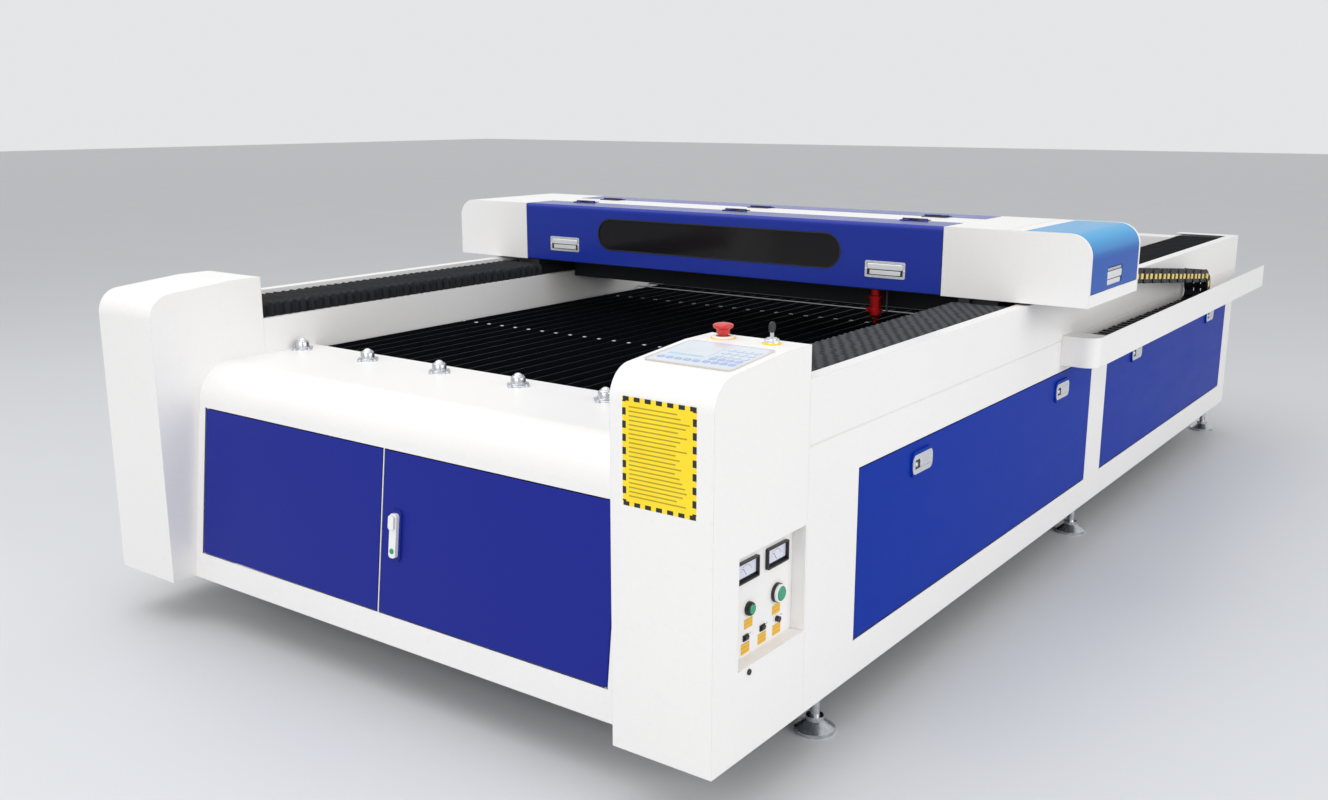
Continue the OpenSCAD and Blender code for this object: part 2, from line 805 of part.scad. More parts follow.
module laser_button() {
    placed([0.08, 0.62, 0.48]) {
        rod_x(panel_x - 16, panel_x + 11, laser_y, button_z, 7);
        rod_x(panel_x + 10, panel_x + 18, laser_y, button_z, laser_d / 2 - 2);
    }
}

// ---- cabinet ----

module laser_power_supply() {
    placed([0.62, 0.63, 0.65]) difference() {
        span([-460, cabinet_y - 190, cabinet_z], [-180, cabinet_y, cabinet_z + 150]);
        for (i = [0 : 8]) span([-440 + i * 30, cabinet_y - 200, cabinet_z + 40],
                               [-428 + i * 30, cabinet_y - 186, cabinet_z + 110]);
    }
}

module motion_controller() {
    placed([0.22, 0.23, 0.25]) {
        span([60, cabinet_y - 4, cabinet_z], [600, cabinet_y, frame_top - 110]);
        for (x = [90, 250, 410]) difference() {
            span([x, cabinet_y - 64, cabinet_z + 40], [x + 120, cabinet_y - 4, cabinet_z + 220]);
            for (i = [0 : 5]) span([x + 10 + i * 18, cabinet_y - 70, cabinet_z + 60],
                                   [x + 16 + i * 18, cabinet_y - 58, cabinet_z + 200]);
        }
    }
}

// ---- doors and panels ----

// A folded pan: a face sheet with returned edges, lying in the XZ plane with its face at y = 0
module folded_pan(w, h) {
    difference() {
        span([0, 0, 0], [w, fold_in, h]);
        span([sheet, sheet, sheet], [w - sheet, fold_in + 1, h - sheet]);
    }
}

// A front door with its hinge roll at x = 0; a mirrored copy makes the right one
module front_door(w) {
    h = door_tall - 2 * door_gap;
    difference() {
        union() {
            translate([roll_r, 0, 0]) folded_pan(w - roll_r, h);
            translate([roll_r, roll_r, 0]) cylinder(r = roll_r, h = h);
        }
        for (z = [-1, h - 12]) translate([roll_r, roll_r, z]) cylinder(r = roll_pin + fit, h = 13);
    }
}

module left_door() {
    placed(blue) on_front() translate([-door_left + door_gap, 0, door_low + door_gap])
        front_door(door_w - 2 * door_gap);
}

module right_door() {
    placed(blue) on_front() difference() {
        union() {
            translate([door_right - door_gap, 0, door_low + door_gap]) mirror([1, 0, 0])
                front_door(door_w - 2 * door_gap);
            translate([handle_x, 0, handle_z]) rotate([90, 0, 0]) linear_extrude(5)
                round_rect(34, handle_h + 16, 10);
        }
        translate([handle_x, 1, handle_z - handle_h / 2 + 18]) rotate([90, 0, 0]) cylinder(r = 7 + fit, h = 8);
    }
}

handle_x = door_mid + 54;
handle_z = door_low + 196;

module door_handle() {
    placed([0.92, 0.92, 0.92]) on_front() translate([handle_x, -5 - run_gap, handle_z]) {
        translate([0, 0, -handle_h / 2 + 18]) rotate([-90, 0, 0]) cylinder(r = 7, h = 5);
        rotate([90, 0, 0]) linear_extrude(9) round_rect(22, handle_h, 8);
        translate([0, -9, handle_h / 2 - 20]) rotate([90, 0, 0]) linear_extrude(7) round_rect(18, 34, 7);
    }
}

// A side panel of the right side, hung on pins along its lower edge
module side_panel(i) {
    y = panel_front[i];
    l = panel_long[i];
    w = l - 2 * door_gap;
    z0 = panel_z + door_gap;
    h = panel_tall - 2 * door_gap;
    difference() {
        union() {
            span([xo - sheet, y + door_gap, z0 + hinge_r], [xo, y + door_gap + w, z0 + h]);
            span([xo - fold_in, y + door_gap, z0 + 12], [xo, y + door_gap + sheet, z0 + h]);
            span([xo - fold_in, y + door_gap + w - sheet, z0 + 12], [xo, y + door_gap + w, z0 + h]);
            span([xo - fold_in, y + door_gap, z0 + h - sheet], [xo, y + door_gap + w, z0 + h]);
            rod_y(y + door_gap, y + door_gap + w, xo - hinge_r, z0 + hinge_r, hinge_r);
            for (ly = [y + latch_in[0], y + l - latch_in[1]]) translate([xo, ly, panel_z + panel_tall - latch_drop])
                rotate([90, 0, 90]) {
                    linear_extrude(5) round_rect(latch_l, latch_w, 14);
                    translate([0, 0, -26]) linear_extrude(26) square([latch_l * 0.7, latch_w * 0.6], center = true);
                }
        }
        for (ly = [y + latch_in[0], y + l - latch_in[1]])
            translate([xo - 14, ly - 6, panel_z + panel_tall - latch_drop]) rotate([90, 0, 90])
                linear_extrude(30) round_rect(latch_l * 0.55, latch_w * 0.5, 8);
        for (py = [y, y + l - 15]) rod_y(py, py + 15, xo - hinge_r, z0 + hinge_r, 1.5 + fit);
    }
}

module panel_left_front() {
    placed(blue) mirror([1, 0, 0]) side_panel(0);
}

module panel_left_rear() {
    placed(blue) mirror([1, 0, 0]) side_panel(1);
}

module panel_right_front() {
    placed(blue) side_panel(0);
}

module panel_right_rear() {
    placed(blue) side_panel(1);
}

// ---- bellows ----

// A pleated block: ridges and valleys across its top and down both sides, with its ends past the skin by e
module bellows_block(y0, y1, inset, e) {
    folds = max(3, round((y1 - y0) / fold_pitch));
    n = folds * 2;
    low = wall_h + 0.4 - e;
    ys = [for (i = [0 : n]) y0 + (y1 - y0) * i / n + (i == 0 ? -e : i == n ? e : 0)];
    intersection() {
        along_x(bellows_in - 1, bellows_out + 1) polygon(concat(
            [[ys[0], low]],
            [for (i = [0 : n]) [ys[i], bellows_h - inset - (i % 2) * fold_deep]],
            [[ys[n], low]]
        ));
        linear_extrude_up(low, bellows_h) polygon(concat(
            [for (i = [0 : n]) [bellows_in + inset + (i % 2) * fold_deep, ys[i]]],
            [for (i = [n : -1 : 0]) [bellows_out - inset - (i % 2) * fold_deep, ys[i]]]
        ));
    }
}

module bellows_skin(y0, y1) {
    difference() {
        bellows_block(y0, y1, 0, 0);
        bellows_block(y0, y1, 2, 1);
    }
}

module bellows_front() {
    placed(black) both_sides() bellows_skin(tower_d, truck_y - run_gap);
}

module bellows_rear() {
    placed(black) both_sides() bellows_skin(truck_y + truck_l + run_gap, body_l - 62);
}

// ---- gantry ----

module gantry_beam() {
    placed([0.24, 0.25, 0.27]) {
        // pan in two strips, both bolted on the trucks, with the head slot between them
        span([-gx + sheet, gantry_y + sheet + 1, gz], [gx - sheet, head_y - 36, pan_z]);
        span([-gx + sheet, head_y + 36, gz], [gx - sheet, g_back - sheet - 1, pan_z]);
        difference() {
            span([-xo + 10, beam_y, pan_z], [xo - 10, beam_y + beam_w, beam_top]);
            span([-xo, beam_y + 5, pan_z + 5], [xo, beam_y + beam_w - 5, beam_top - 5]);
        }
        // drop beam between the inner walls
        difference() {
            span([-xi + 10, beam_y, drop_z], [xi - 10, beam_y + 260, gz]);
            span([-xi, beam_y + 3, drop_z + 3], [xi, beam_y + 257, gz]);
        }
    }
}

module gantry_trucks() {
    placed([0.70, 0.71, 0.73]) both_sides() {
        difference() {
            span([rail_x - 26, truck_y, floor_z + 8], [rail_x + 26, truck_y + truck_l, floor_z + rail_h + 22]);
            span([rail_x - rail_w / 2 - run_gap, truck_y - 1, floor_z],
                 [rail_x + rail_w / 2 + run_gap, truck_y + truck_l + 1, floor_z + rail_h + run_gap]);
        }
        span([rail_x - 80, truck_y + 20, floor_z + rail_h + 22], [rail_x + 26, truck_y + truck_l - 20, gz]);
        span([rail_x - 80, truck_y, gz - 32], [rail_x - 48, truck_y + 4, gz]);
        span([rail_x - 80, truck_y, gz - 4], [rail_x - 48, truck_y + 21, gz]);
    }
}

// End cover outline, drawn as [x, z] with its round shoulder; inner end at x0
module end_outline(x0, inset) {
    r = end_r - inset;
    x1 = gx - inset;
    z1 = gtop - inset;
    polygon([[x0, gz], [x1, gz], [x1, gtop - end_r], [gx - end_r, gtop - end_r], [gx - end_r, z1], [x0, z1]]);
    translate([gx - end_r, gtop - end_r]) intersection() {
        circle(r, $fn = 96);
        square(2 * end_r);
    }
}

module end_shell(x0) {
    difference() {
        along_y(gantry_y, g_back) end_outline(x0, 0);
        along_y(gantry_y + sheet, g_back - sheet) translate([0, -0.01]) end_outline(x0 - 5, sheet);
        span([x0 - 1, gantry_y + sheet, gz - 1], [gx - sheet, g_back - sheet, pan_z]);
    }
}

module gantry_end_left() {
    placed(white) mirror([1, 0, 0]) end_shell(cover_left);
}

// Where the access cover sits: over the shoulder and down the outer side
module access_zone(grow) {
    span([gx - end_open - grow, gantry_y + rim - grow, gz + skirt - grow], [gx + 5, g_back - rim + grow, gtop + 5]);
}

module gantry_end_right() {
    placed(white) {
        difference() {
            end_shell(cx1);
            access_zone(0);
        }
        // support strip and hinge pins of the access cover
        span([gx - end_open - 10, gantry_y + rim, gtop - 8], [gx - end_open, g_back - rim, gtop - sheet]);
        for (y = [gantry_y + 1, g_back - rim - 13]) rod_y(y, y + rim + 12, access_axis[0], access_axis[1], hinge_r);
    }
}

access_axis = [gx - end_open + 7, gtop - 5.5];

module end_access_cover() {
    placed([0.16, 0.35, 0.70]) difference() {
        union() {
            intersection() {
                difference() {
                    along_y(gantry_y + rim + 1.5, g_back - rim - 1.5) end_outline(cx1, 0);
                    along_y(gantry_y, g_back) translate([0, -20]) end_outline(cx1 - 5, sheet);
                    along_y(gantry_y, g_back) end_outline(cx1 - 5, sheet);
                }
                access_zone(-1.5);
                span([access_axis[0] - 3, gantry_y, gz], [gx + 1, g_back, gtop + 1]);
            }
            rod_y(gantry_y + rim + 1.5, g_back - rim - 1.5, access_axis[0], access_axis[1], hinge_r + 2.5);
            translate([gx - cup_in, end_pull_y, end_pull_z]) rotate([90, 0, 90]) linear_extrude(cup_in)
                round_rect(146, 68, 6);
        }
        for (y = [gantry_y, g_back - rim - 14]) rod_y(y, y + rim + 14, access_axis[0], access_axis[1], hinge_r + fit);
        translate([gx - cup_in + 1.5, end_pull_y, end_pull_z]) rotate([90, 0, 90])
            linear_extrude(cup_in) round_rect(126, 48, 5);
    }
}

module gantry_spine() {
    placed(white) {
        difference() {
            union() {
                span([cx0, spine_y + 1, gtop - sheet], [cx1, spine_y + spine_w - 1, gtop]);
                for (y = [spine_y + 1, spine_y + spine_w - 1 - sheet])
                    span([cx0, y, gtop - 26], [cx1, y + sheet, gtop]);
            }
            // room for the hinge knuckles
            for (x = hinge_xs, y = [spine_y, spine_y + spine_w])
                span([x - hinge_l / 2 - 2, y - 5.5, gtop - 6], [x + hinge_l / 2 + 2, y + 5.5, gtop + 1]);
        }
        for (x = [cx0 + 90, cover_mid - 20, cx1 - 130])
            span([x, spine_y + 60, beam_top], [x + 40, spine_y + 66, gtop - sheet]);
    }
}

// A hinge knuckle row on X about [y, z]
module hinge_row(axis) {
    for (x = hinge_xs) {
        rod_x(x - hinge_l / 2, x + hinge_l / 2, axis[0], axis[1], hinge_pin);
        rod_x(x - hinge_l / 6 + 0.5, x + hinge_l / 6 - 0.5, axis[0], axis[1], hinge_pin + 2);
    }
}

module cover_hinges() {
    placed(black) {
        hinge_row(front_axis);
        hinge_row(rear_axis);
        for (x = hinge_xs) {
            span([x - hinge_l / 6 + 0.5, spine_y, gtop], [x + hinge_l / 6 - 0.5, spine_y + 24, gtop + 2]);
            span([x - hinge_l / 2, spine_y + 6, gtop], [x + hinge_l / 2, spine_y + 24, gtop + 2]);
            span([x - hinge_l / 6 + 0.5, spine_y + spine_w - 24, gtop],
                 [x + hinge_l / 6 - 0.5, spine_y + spine_w, gtop + 2]);
            span([x - hinge_l / 2, spine_y + spine_w - 24, gtop], [x + hinge_l / 2, spine_y + spine_w - 6, gtop + 2]);
        }
    }
}

// Outline of the front cover, drawn as [y, z]: top, small round and front wall
module cover_outline(inset) {
    r = 14 - inset;
    difference() {
        union() {
            translate([gantry_y + 14, gz + 3 + inset]) square([cover_top - 15, gantry_tall - 3 - 2 * inset]);
            translate([gantry_y + inset, gz + 3 + inset]) square([30, gantry_tall - 17 - inset]);
            translate([gantry_y + 14, gtop - 14]) circle(r);
        }
    }
}

// Outer knuckles that turn on the hinge pins, with the leaf under them
module cover_knuckles(axis, s) {
    for (x = hinge_xs, e = [-1, 1]) difference() {
        union() {
            rod_x(x + e * hinge_l / 3 - hinge_l / 6 + 0.5, x + e * hinge_l / 3 + hinge_l / 6 - 0.5, axis[0], axis[1], hinge_pin + 2);
            span([x + e * hinge_l / 3 - hinge_l / 6 + 0.5, s > 0 ? axis[0] + 1.5 : axis[0] - 22, gtop],
                 [x + e * hinge_l / 3 + hinge_l / 6 - 0.5, s > 0 ? axis[0] + 22 : axis[0] - 1.5, gtop + 2]);
        }
        rod_x(x - hinge_l, x + hinge_l, axis[0], axis[1], hinge_pin + fit);
    }
}

// Cups of the two pulls in a cover's face, or with an inset the hollows in them
module pull_cups(inset) {
    for (x = [-1, 1]) translate([cover_mid + x * pull_x, gantry_y + cup_in - inset, pull_z]) rotate([90, 0, 0])
        linear_extrude(cup_in) round_rect(126 - inset * 8, 48 - inset * 8, 5);
}

// One blue cover: an angle of sheet with closed ends, opening on its hinges
module cover_shell() {
    along_x(cx0 + 2, cx1 - 2) difference() {
        cover_outline(0);
        cover_outline(sheet);
        translate([gantry_y + 30, gz]) square([cover_top, gantry_tall - sheet]);
        translate([gantry_y + 14, gz]) square([cover_top, gantry_tall - 14]);
    }
}

module front_cover() {
    placed(blue) {
        difference() {
            union() {
                cover_shell();
                pull_cups(0);
            }
            translate([cover_mid, gantry_y - 5, gz + 102.5]) rotate([-90, 0, 0]) linear_extrude(20) stadium(window_l, window_h);
            pull_cups(1.5);
            for (x = hinge_xs) span([x - hinge_l / 2 - 2, spine_y - 5, gtop - 5], [x + hinge_l / 2 + 2, spine_y + 5, gtop + 5]);
        }
        cover_knuckles(front_axis, -1);
    }
}

module cover_window() {
    placed([0.12, 0.10, 0.09]) translate([cover_mid, gantry_y + sheet + 3, gz + 102.5]) rotate([90, 0, 0])
        linear_extrude(3) round_rect(window_l + 24, window_h + 16, 10);
}

module rear_cover() {
    placed(blue) {
        difference() {
            translate([0, gantry_y + g_back, 0]) mirror([0, 1, 0]) union() {
                rear_shell();
                pull_cups(0);
            }
            translate([0, gantry_y + g_back, 0]) mirror([0, 1, 0]) pull_cups(1.5);
            for (x = hinge_xs) span([x - hinge_l / 2 - 2, rear_axis[0] - 5, gtop - 5], [x + hinge_l / 2 + 2, rear_axis[0] + 5, gtop + 5]);
            for (i = [0 : 9]) span([cover_mid - 300 + i * 64, g_back - 5, gz + 110], [cover_mid - 260 + i * 64, g_back + 5, gz + 118]);
        }
        cover_knuckles(rear_axis, 1);
    }
}

rear_top = gantry_d - cover_top - spine_w;

module rear_shell() {
    along_x(cx0 + 2, cx1 - 2) difference() {
        union() {
            translate([gantry_y + 14, gz + 3]) square([rear_top - 15, gantry_tall - 3]);
            translate([gantry_y, gz + 3]) square([30, gantry_tall - 17]);
            translate([gantry_y + 14, gtop - 14]) circle(14);
        }
        translate([gantry_y + 14, gz]) square([rear_top, gantry_tall - sheet]);
        translate([gantry_y + sheet, gz]) square([30, gantry_tall - 14]);
        translate([gantry_y + 14, gtop - 14]) circle(14 - sheet);
    }
}

module laser_tube() {
    placed([0.80, 0.86, 0.90]) {
        rod_x(-tube_l / 2 - 40, tube_l / 2 - 40, tube_y, tube_z, tube_d / 2);
        rod_x(-tube_l / 2 - 85, tube_l / 2 - 10, tube_y, tube_z, tube_d * 0.3);
    }
}

module tube_mounts() {
    placed([0.15, 0.15, 0.16]) for (x = [-560, 480]) difference() {
        span([x - 15, tube_y - 52, pan_z], [x + 15, tube_y + 52, tube_z + tube_d / 2 + 8]);
        rod_x(x - 20, x + 20, tube_y, tube_z, tube_d / 2);
        for (s = [-1, 1]) span([x - 20, tube_y + s * 38 - 8, pan_z + 12], [x + 20, tube_y + s * 38 + 8, tube_z - 34]);
    }
}

module beam_mirrors() {
    mx = tube_l / 2 + 66;
    placed([0.78, 0.68, 0.38]) for (m = [[tube_y, 45], [head_y, 135]]) {
        span([mx - 22, m[0] - 22, pan_z], [mx + 22, m[0] + 22, tube_z - 24]);
        difference() {
            span([mx - 26, m[0] - 26, tube_z - 24], [mx + 26, m[0] + 26, tube_z + 26]);
            translate([mx, m[0], tube_z]) rotate([0, 0, m[1]]) translate([0, -60, -40]) cube([60, 120, 80]);
        }
        translate([mx, m[0], tube_z]) rotate([0, 0, m[1]]) rotate([0, 90, 0]) cylinder(r = 13, h = 3);
    }
}

module x_rail() {
    placed(steel) span([-820, beam_y - 15, pan_z + 18], [700, beam_y, pan_z + 38]);
}

module x_belt() {
    placed(black) along_y(xbelt_y, xbelt_y + xbelt_w) translate([-xpulley_x, xbelt_z])
        belt_loop(2 * xpulley_x, xpulley_r + run_gap);
}

module x_motor() {
    placed([0.14, 0.14, 0.15]) {
        span([-xpulley_x - 28.5, beam_y + 5, beam_top], [-xpulley_x + 28.5, beam_y + 70, xbelt_z + 28.5]);
        span([-xpulley_x - 28.5, beam_y, beam_top], [-xpulley_x + 28.5, beam_y + 5, xbelt_z + 28.5]);
        rod_y(xbelt_y - 6, beam_y + 1, -xpulley_x, xbelt_z, 4);
        span([xpulley_x - 18, beam_y, beam_top], [xpulley_x + 18, beam_y + 10, xbelt_z + 14]);
        rod_y(xbelt_y - 6, beam_y + 1, xpulley_x, xbelt_z, 4);
    }
}

module x_pulley(x) {
    difference() {
        rod_y(xbelt_y - 1, xbelt_y + xbelt_w + 1, x, xbelt_z, xpulley_r);
        rod_y(xbelt_y - 5, xbelt_y + xbelt_w + 5, x, xbelt_z, 4 + fit);
    }
}

module x_drive_pulley() {
    placed(steel) x_pulley(-xpulley_x);
}

module x_idler_pulley() {
    placed(steel) x_pulley(xpulley_x);
}

module head_carriage() {
    placed([0.70, 0.71, 0.73]) {
        difference() {
            span([head_x - 45, xbelt_y - 12, pan_z + 8], [head_x + 45, beam_y - 1, pan_z + 48]);
            span([head_x - 50, beam_y - 15 - run_gap, pan_z + 18 - run_gap], [head_x + 50, beam_y + 5, pan_z + 38 + run_gap]);
        }
        span([head_x - 45, xbelt_y - 12, pan_z + 48], [head_x + 45, xbelt_y - 4, tube_z + 30]);
        difference() {
            span([head_x - 30, head_y - 27, tube_z - 28], [head_x + 30, xbelt_y - 12, tube_z + 28]);
            rod_x(head_x - 35, head_x + 35, head_y, tube_z, 9);
            translate([head_x, head_y, tube_z - 40]) cylinder(r = 9, h = 40);
        }
        difference() {
            span([head_x - 28, head_y - 24, pan_z + 8], [head_x + 28, xbelt_y - 12, pan_z + 30]);
            translate([head_x, head_y, pan_z]) cylinder(r = 15 + fit, h = 40);
        }
        translate([head_x + 36, head_y, nozzle_z + 36]) cylinder(r = 3, h = pan_z + 9 - nozzle_z - 36);
        span([head_x + 33, head_y - 3, pan_z + 8], [head_x + 39, xbelt_y - 12, pan_z + 16]);
    }
}

module laser_head() {
    placed([0.78, 0.08, 0.07]) translate([head_x, head_y, nozzle_z]) {
        rotate_extrude() polygon([
            [2, 0], [5, 0], [9, 16], [17, 26], [17, 34], [21, 34], [21, 44], [18, 44], [18, 74], [21, 74],
            [21, 82], [15, 84], [15, 172], [9, 172], [9, 30], [2, 6]
        ]);
        translate([-27, -8, 36]) cube([12, 16, 10]);
    }
}

base_frame();
levelling_feet();
front_fascia();
left_tower();
control_tower();
left_side_skin();
right_side_skin();
rear_skin();
rail_channels();
knife_slats();
slat_supports();
scrap_tray();
y_rails();
y_belts();
y_motor();
y_drive_shaft();
belt_idlers();
ball_transfers();
chain_tray();
chain_lower();
chain_bend();
chain_upper();
keypad_panel();
switch_bezels();
panel_meters();
estop_button();
key_barrel();
power_button();
laser_button();
laser_power_supply();
motion_controller();
left_door();
right_door();
door_handle();
panel_left_front();
panel_left_rear();
panel_right_front();
panel_right_rear();
bellows_front();
bellows_rear();
gantry_beam();
gantry_trucks();
gantry_end_left();
gantry_end_right();
gantry_spine();
cover_hinges();
front_cover();
cover_window();
rear_cover();
end_access_cover();
laser_tube();
tube_mounts();
beam_mirrors();
x_rail();
x_belt();
x_motor();
x_drive_pulley();
x_idler_pulley();
head_carriage();
laser_head();
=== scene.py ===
"""Large flatbed carbon dioxide laser cutter, dressed over its own solids.

Metres, with the floor at z = 0 and the front towards -y.
"""
import math

import bmesh
import bpy
from mathutils import Matrix, Vector


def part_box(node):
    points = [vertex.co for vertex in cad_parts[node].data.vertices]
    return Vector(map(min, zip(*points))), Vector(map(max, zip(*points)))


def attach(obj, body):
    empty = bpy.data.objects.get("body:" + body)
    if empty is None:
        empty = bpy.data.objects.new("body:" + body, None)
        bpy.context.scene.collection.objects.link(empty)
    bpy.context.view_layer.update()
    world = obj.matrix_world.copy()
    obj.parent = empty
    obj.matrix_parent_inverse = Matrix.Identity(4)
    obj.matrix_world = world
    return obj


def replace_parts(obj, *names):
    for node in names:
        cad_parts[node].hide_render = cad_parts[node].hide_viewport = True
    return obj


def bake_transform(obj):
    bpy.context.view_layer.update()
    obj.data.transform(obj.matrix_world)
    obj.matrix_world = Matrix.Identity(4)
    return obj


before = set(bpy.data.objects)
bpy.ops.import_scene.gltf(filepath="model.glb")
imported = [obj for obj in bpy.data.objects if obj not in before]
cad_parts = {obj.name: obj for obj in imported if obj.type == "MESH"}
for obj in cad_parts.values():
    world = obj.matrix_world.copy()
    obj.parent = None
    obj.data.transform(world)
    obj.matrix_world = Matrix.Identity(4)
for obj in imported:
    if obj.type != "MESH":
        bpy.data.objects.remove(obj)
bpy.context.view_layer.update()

# ---------------------------------------------------------------- camera
# The viewpoint of a person beside the right front corner, a little above the towers.
# A moderately wide lens, level, with no shift and everything in focus.
camera = bpy.data.objects.new("viewpoint", bpy.data.cameras.new("viewpoint"))
bpy.context.scene.collection.objects.link(camera)
camera.location = (2.156, -3.743, 1.337)
camera.rotation_euler = (math.radians(90 - 12.95), 0, math.radians(36.17))
camera.data.lens = 34.27
camera.data.sensor_width = 36
camera.data.clip_end = 200
bpy.context.scene.camera = camera
bpy.context.scene.view_settings.view_transform = "Standard"


# ---------------------------------------------------------------- floor and light
# A plain pale floor under a white surround, lit by three wide soft panels and the room.
# The surround shows in gloss and through glass as it does to the eye.
class Wire:
    """A shader value that can stand in ordinary sums."""

    def __init__(self, shades, socket):
        self.shades = shades
        self.socket = socket

    def maths(self, operation, a, b=0.0):
        return self.shades.node("ShaderNodeMath", {"operation": operation}, {0: a, 1: b})

    def alone(self, operation):
        """A sum of one value, such as SINE or FRACT."""
        return self.shades.node("ShaderNodeMath", {"operation": operation}, {0: self})

    def most(self, other):
        """The larger of two."""
        return self.maths("MAXIMUM", self, other)

    def __add__(self, other):
        return self.maths("ADD", self, other)

    def __radd__(self, other):
        return self.maths("ADD", other, self)

    def __sub__(self, other):
        return self.maths("SUBTRACT", self, other)

    def __rsub__(self, other):
        return self.maths("SUBTRACT", other, self)

    def __mul__(self, other):
        return self.maths("MULTIPLY", self, other)

    def __rmul__(self, other):
        return self.maths("MULTIPLY", other, self)

    def __gt__(self, other):
        return self.maths("GREATER_THAN", self, other)

    def __lt__(self, other):
        return self.maths("LESS_THAN", self, other)


class Shades:
    """A tree of shader nodes."""

    def __init__(self, tree):
        self.tree = tree

    def join(self, socket, value):
        if isinstance(value, Wire):
            self.tree.links.new(value.socket, socket)
        elif isinstance(value, tuple) and socket.type == "RGBA":
            socket.default_value = (*value, 1)
        else:
            socket.default_value = value

    def node(self, kind, settings=None, sockets=None, out=0):
        made = self.tree.nodes.new(kind)
        for key, value in (settings or {}).items():
            if key == "stops":
                ramp = made.color_ramp.elements
                while len(ramp) < len(value):
                    ramp.new(0.5)
                for stop, (place, level) in zip(ramp, value):
                    stop.position = place
                    stop.color = (level, level, level, 1)
            else:
                setattr(made, key, value)
        for key, value in (sockets or {}).items():
            self.join(made.inputs[key], value)
        return Wire(self, made.outputs[out])


class Finish(Shades):
    """One material. Plain values sit on the shader's sockets; wires carry what changes over the surface."""

    def __init__(self, name, shade, roughness, **fixed):
        self.material = bpy.data.materials.new(name)
        self.material.use_nodes = True
        super().__init__(self.material.node_tree)
        self.shader = self.tree.nodes["Principled BSDF"]
        self.set(Base_Color=shade, Roughness=roughness, **fixed)

    def set(self, **values):
        for key, value in values.items():
            self.join(self.shader.inputs[key.replace("_", " ")], value)

    def place(self, stretch=(1, 1, 1)):
        """The piece's own coordinates, stretched."""
        spot = self.node("ShaderNodeTexCoord", out="Object")
        return self.node("ShaderNodeVectorMath", {"operation": "MULTIPLY"}, {0: spot, 1: stretch})

    def axis(self, letter):
        return self.node("ShaderNodeSeparateXYZ", None, {0: self.place()}, out=letter)

    def noise(self, size, detail=2.0, stretch=(1, 1, 1)):
        """Cloudy noise whose lumps are about size across."""
        return self.node("ShaderNodeTexNoise", None,
                         {"Vector": self.place(stretch), "Scale": 1 / size, "Detail": detail})

    def ramp(self, value, *stops):
        return self.node("ShaderNodeValToRGB", {"stops": stops}, {0: value})

    def mix(self, factor, a, b):
        return self.node("ShaderNodeMix", {"data_type": "RGBA"}, {0: factor, 6: a, 7: b}, out=2)

    def clouded(self, size, detail, one, other):
        """Lets the colour drift between two shades in clouds of that size."""
        self.set(Base_Color=self.mix(self.noise(size, detail), one, other))

    def soften(self, radius):
        """Rounds every edge by that radius in the light."""
        return self.node("ShaderNodeBevel", {"samples": 4}, {"Radius": radius})

    def relief(self, height, depth, base=None):
        sockets = {"Strength": 1.0, "Distance": depth, "Height": height}
        if base:
            sockets["Normal"] = base
        self.set(Normal=self.node("ShaderNodeBump", None, sockets))


floor_grey, floor_shade = (0.66, 0.67, 0.68), (0.63, 0.64, 0.655)
floor_paint = Finish("floor", floor_grey, 0.5)
floor_paint.clouded(0.8, 3, floor_grey, floor_shade)
bpy.ops.mesh.primitive_plane_add(size=80, location=(0, 0, 0))
floor = bpy.context.object
floor.name = "floor"
floor.data.materials.append(floor_paint.material)

world = bpy.data.worlds.new("surround")
bpy.context.scene.world = world
world.use_nodes = True
room = Shades(world.node_tree)
room_strength, seen_strength = 0.66, 0.80
to_camera, through_glass, in_gloss = (room.node("ShaderNodeLightPath", out=f"Is {kind} Ray")
                                      for kind in ("Camera", "Transmission", "Glossy"))
seen = to_camera.most(through_glass).most(in_gloss)
background = room.tree.nodes["Background"]
room.join(background.inputs["Strength"], seen * (seen_strength - room_strength) + room_strength)
room.join(background.inputs["Color"], (0.97, 0.985, 1.0))


def panel_light(name, spot, aim, size, power):
    lamp = bpy.data.objects.new(name, bpy.data.lights.new(name, "AREA"))
    lamp.data.shape = "RECTANGLE"
    lamp.data.size, lamp.data.size_y = size
    lamp.data.energy = power
    lamp.location = spot
    lamp.rotation_euler = (Vector(aim) - Vector(spot)).to_track_quat("-Z", "Y").to_euler()
    bpy.context.scene.collection.objects.link(lamp)


panel_light("ceiling_panel", (-1.2, -1.6, 5.2), (0, -0.4, 0.4), (5.5, 6.5), 140)
panel_light("front_panel", (1.5, -7.0, 3.0), (0, -1.5, 0.5), (5.0, 3.0), 125)
panel_light("side_panel", (7.0, -0.5, 2.6), (0.6, 0, 0.5), (6.0, 3.0), 165)


# ---------------------------------------------------------------- white housings
# The cabinet, towers and gantry ends are folded steel sheet with a thick white powder coat.
# They are welded at the corners and ground smooth before the coat is baked.
def colour(r, g, b):
    """Screen colour, 0 to 255, as light."""
    return tuple((c / 255 / 12.92) if c < 10 else ((c / 255 + 0.055) / 1.055) ** 2.4 for c in (r, g, b))


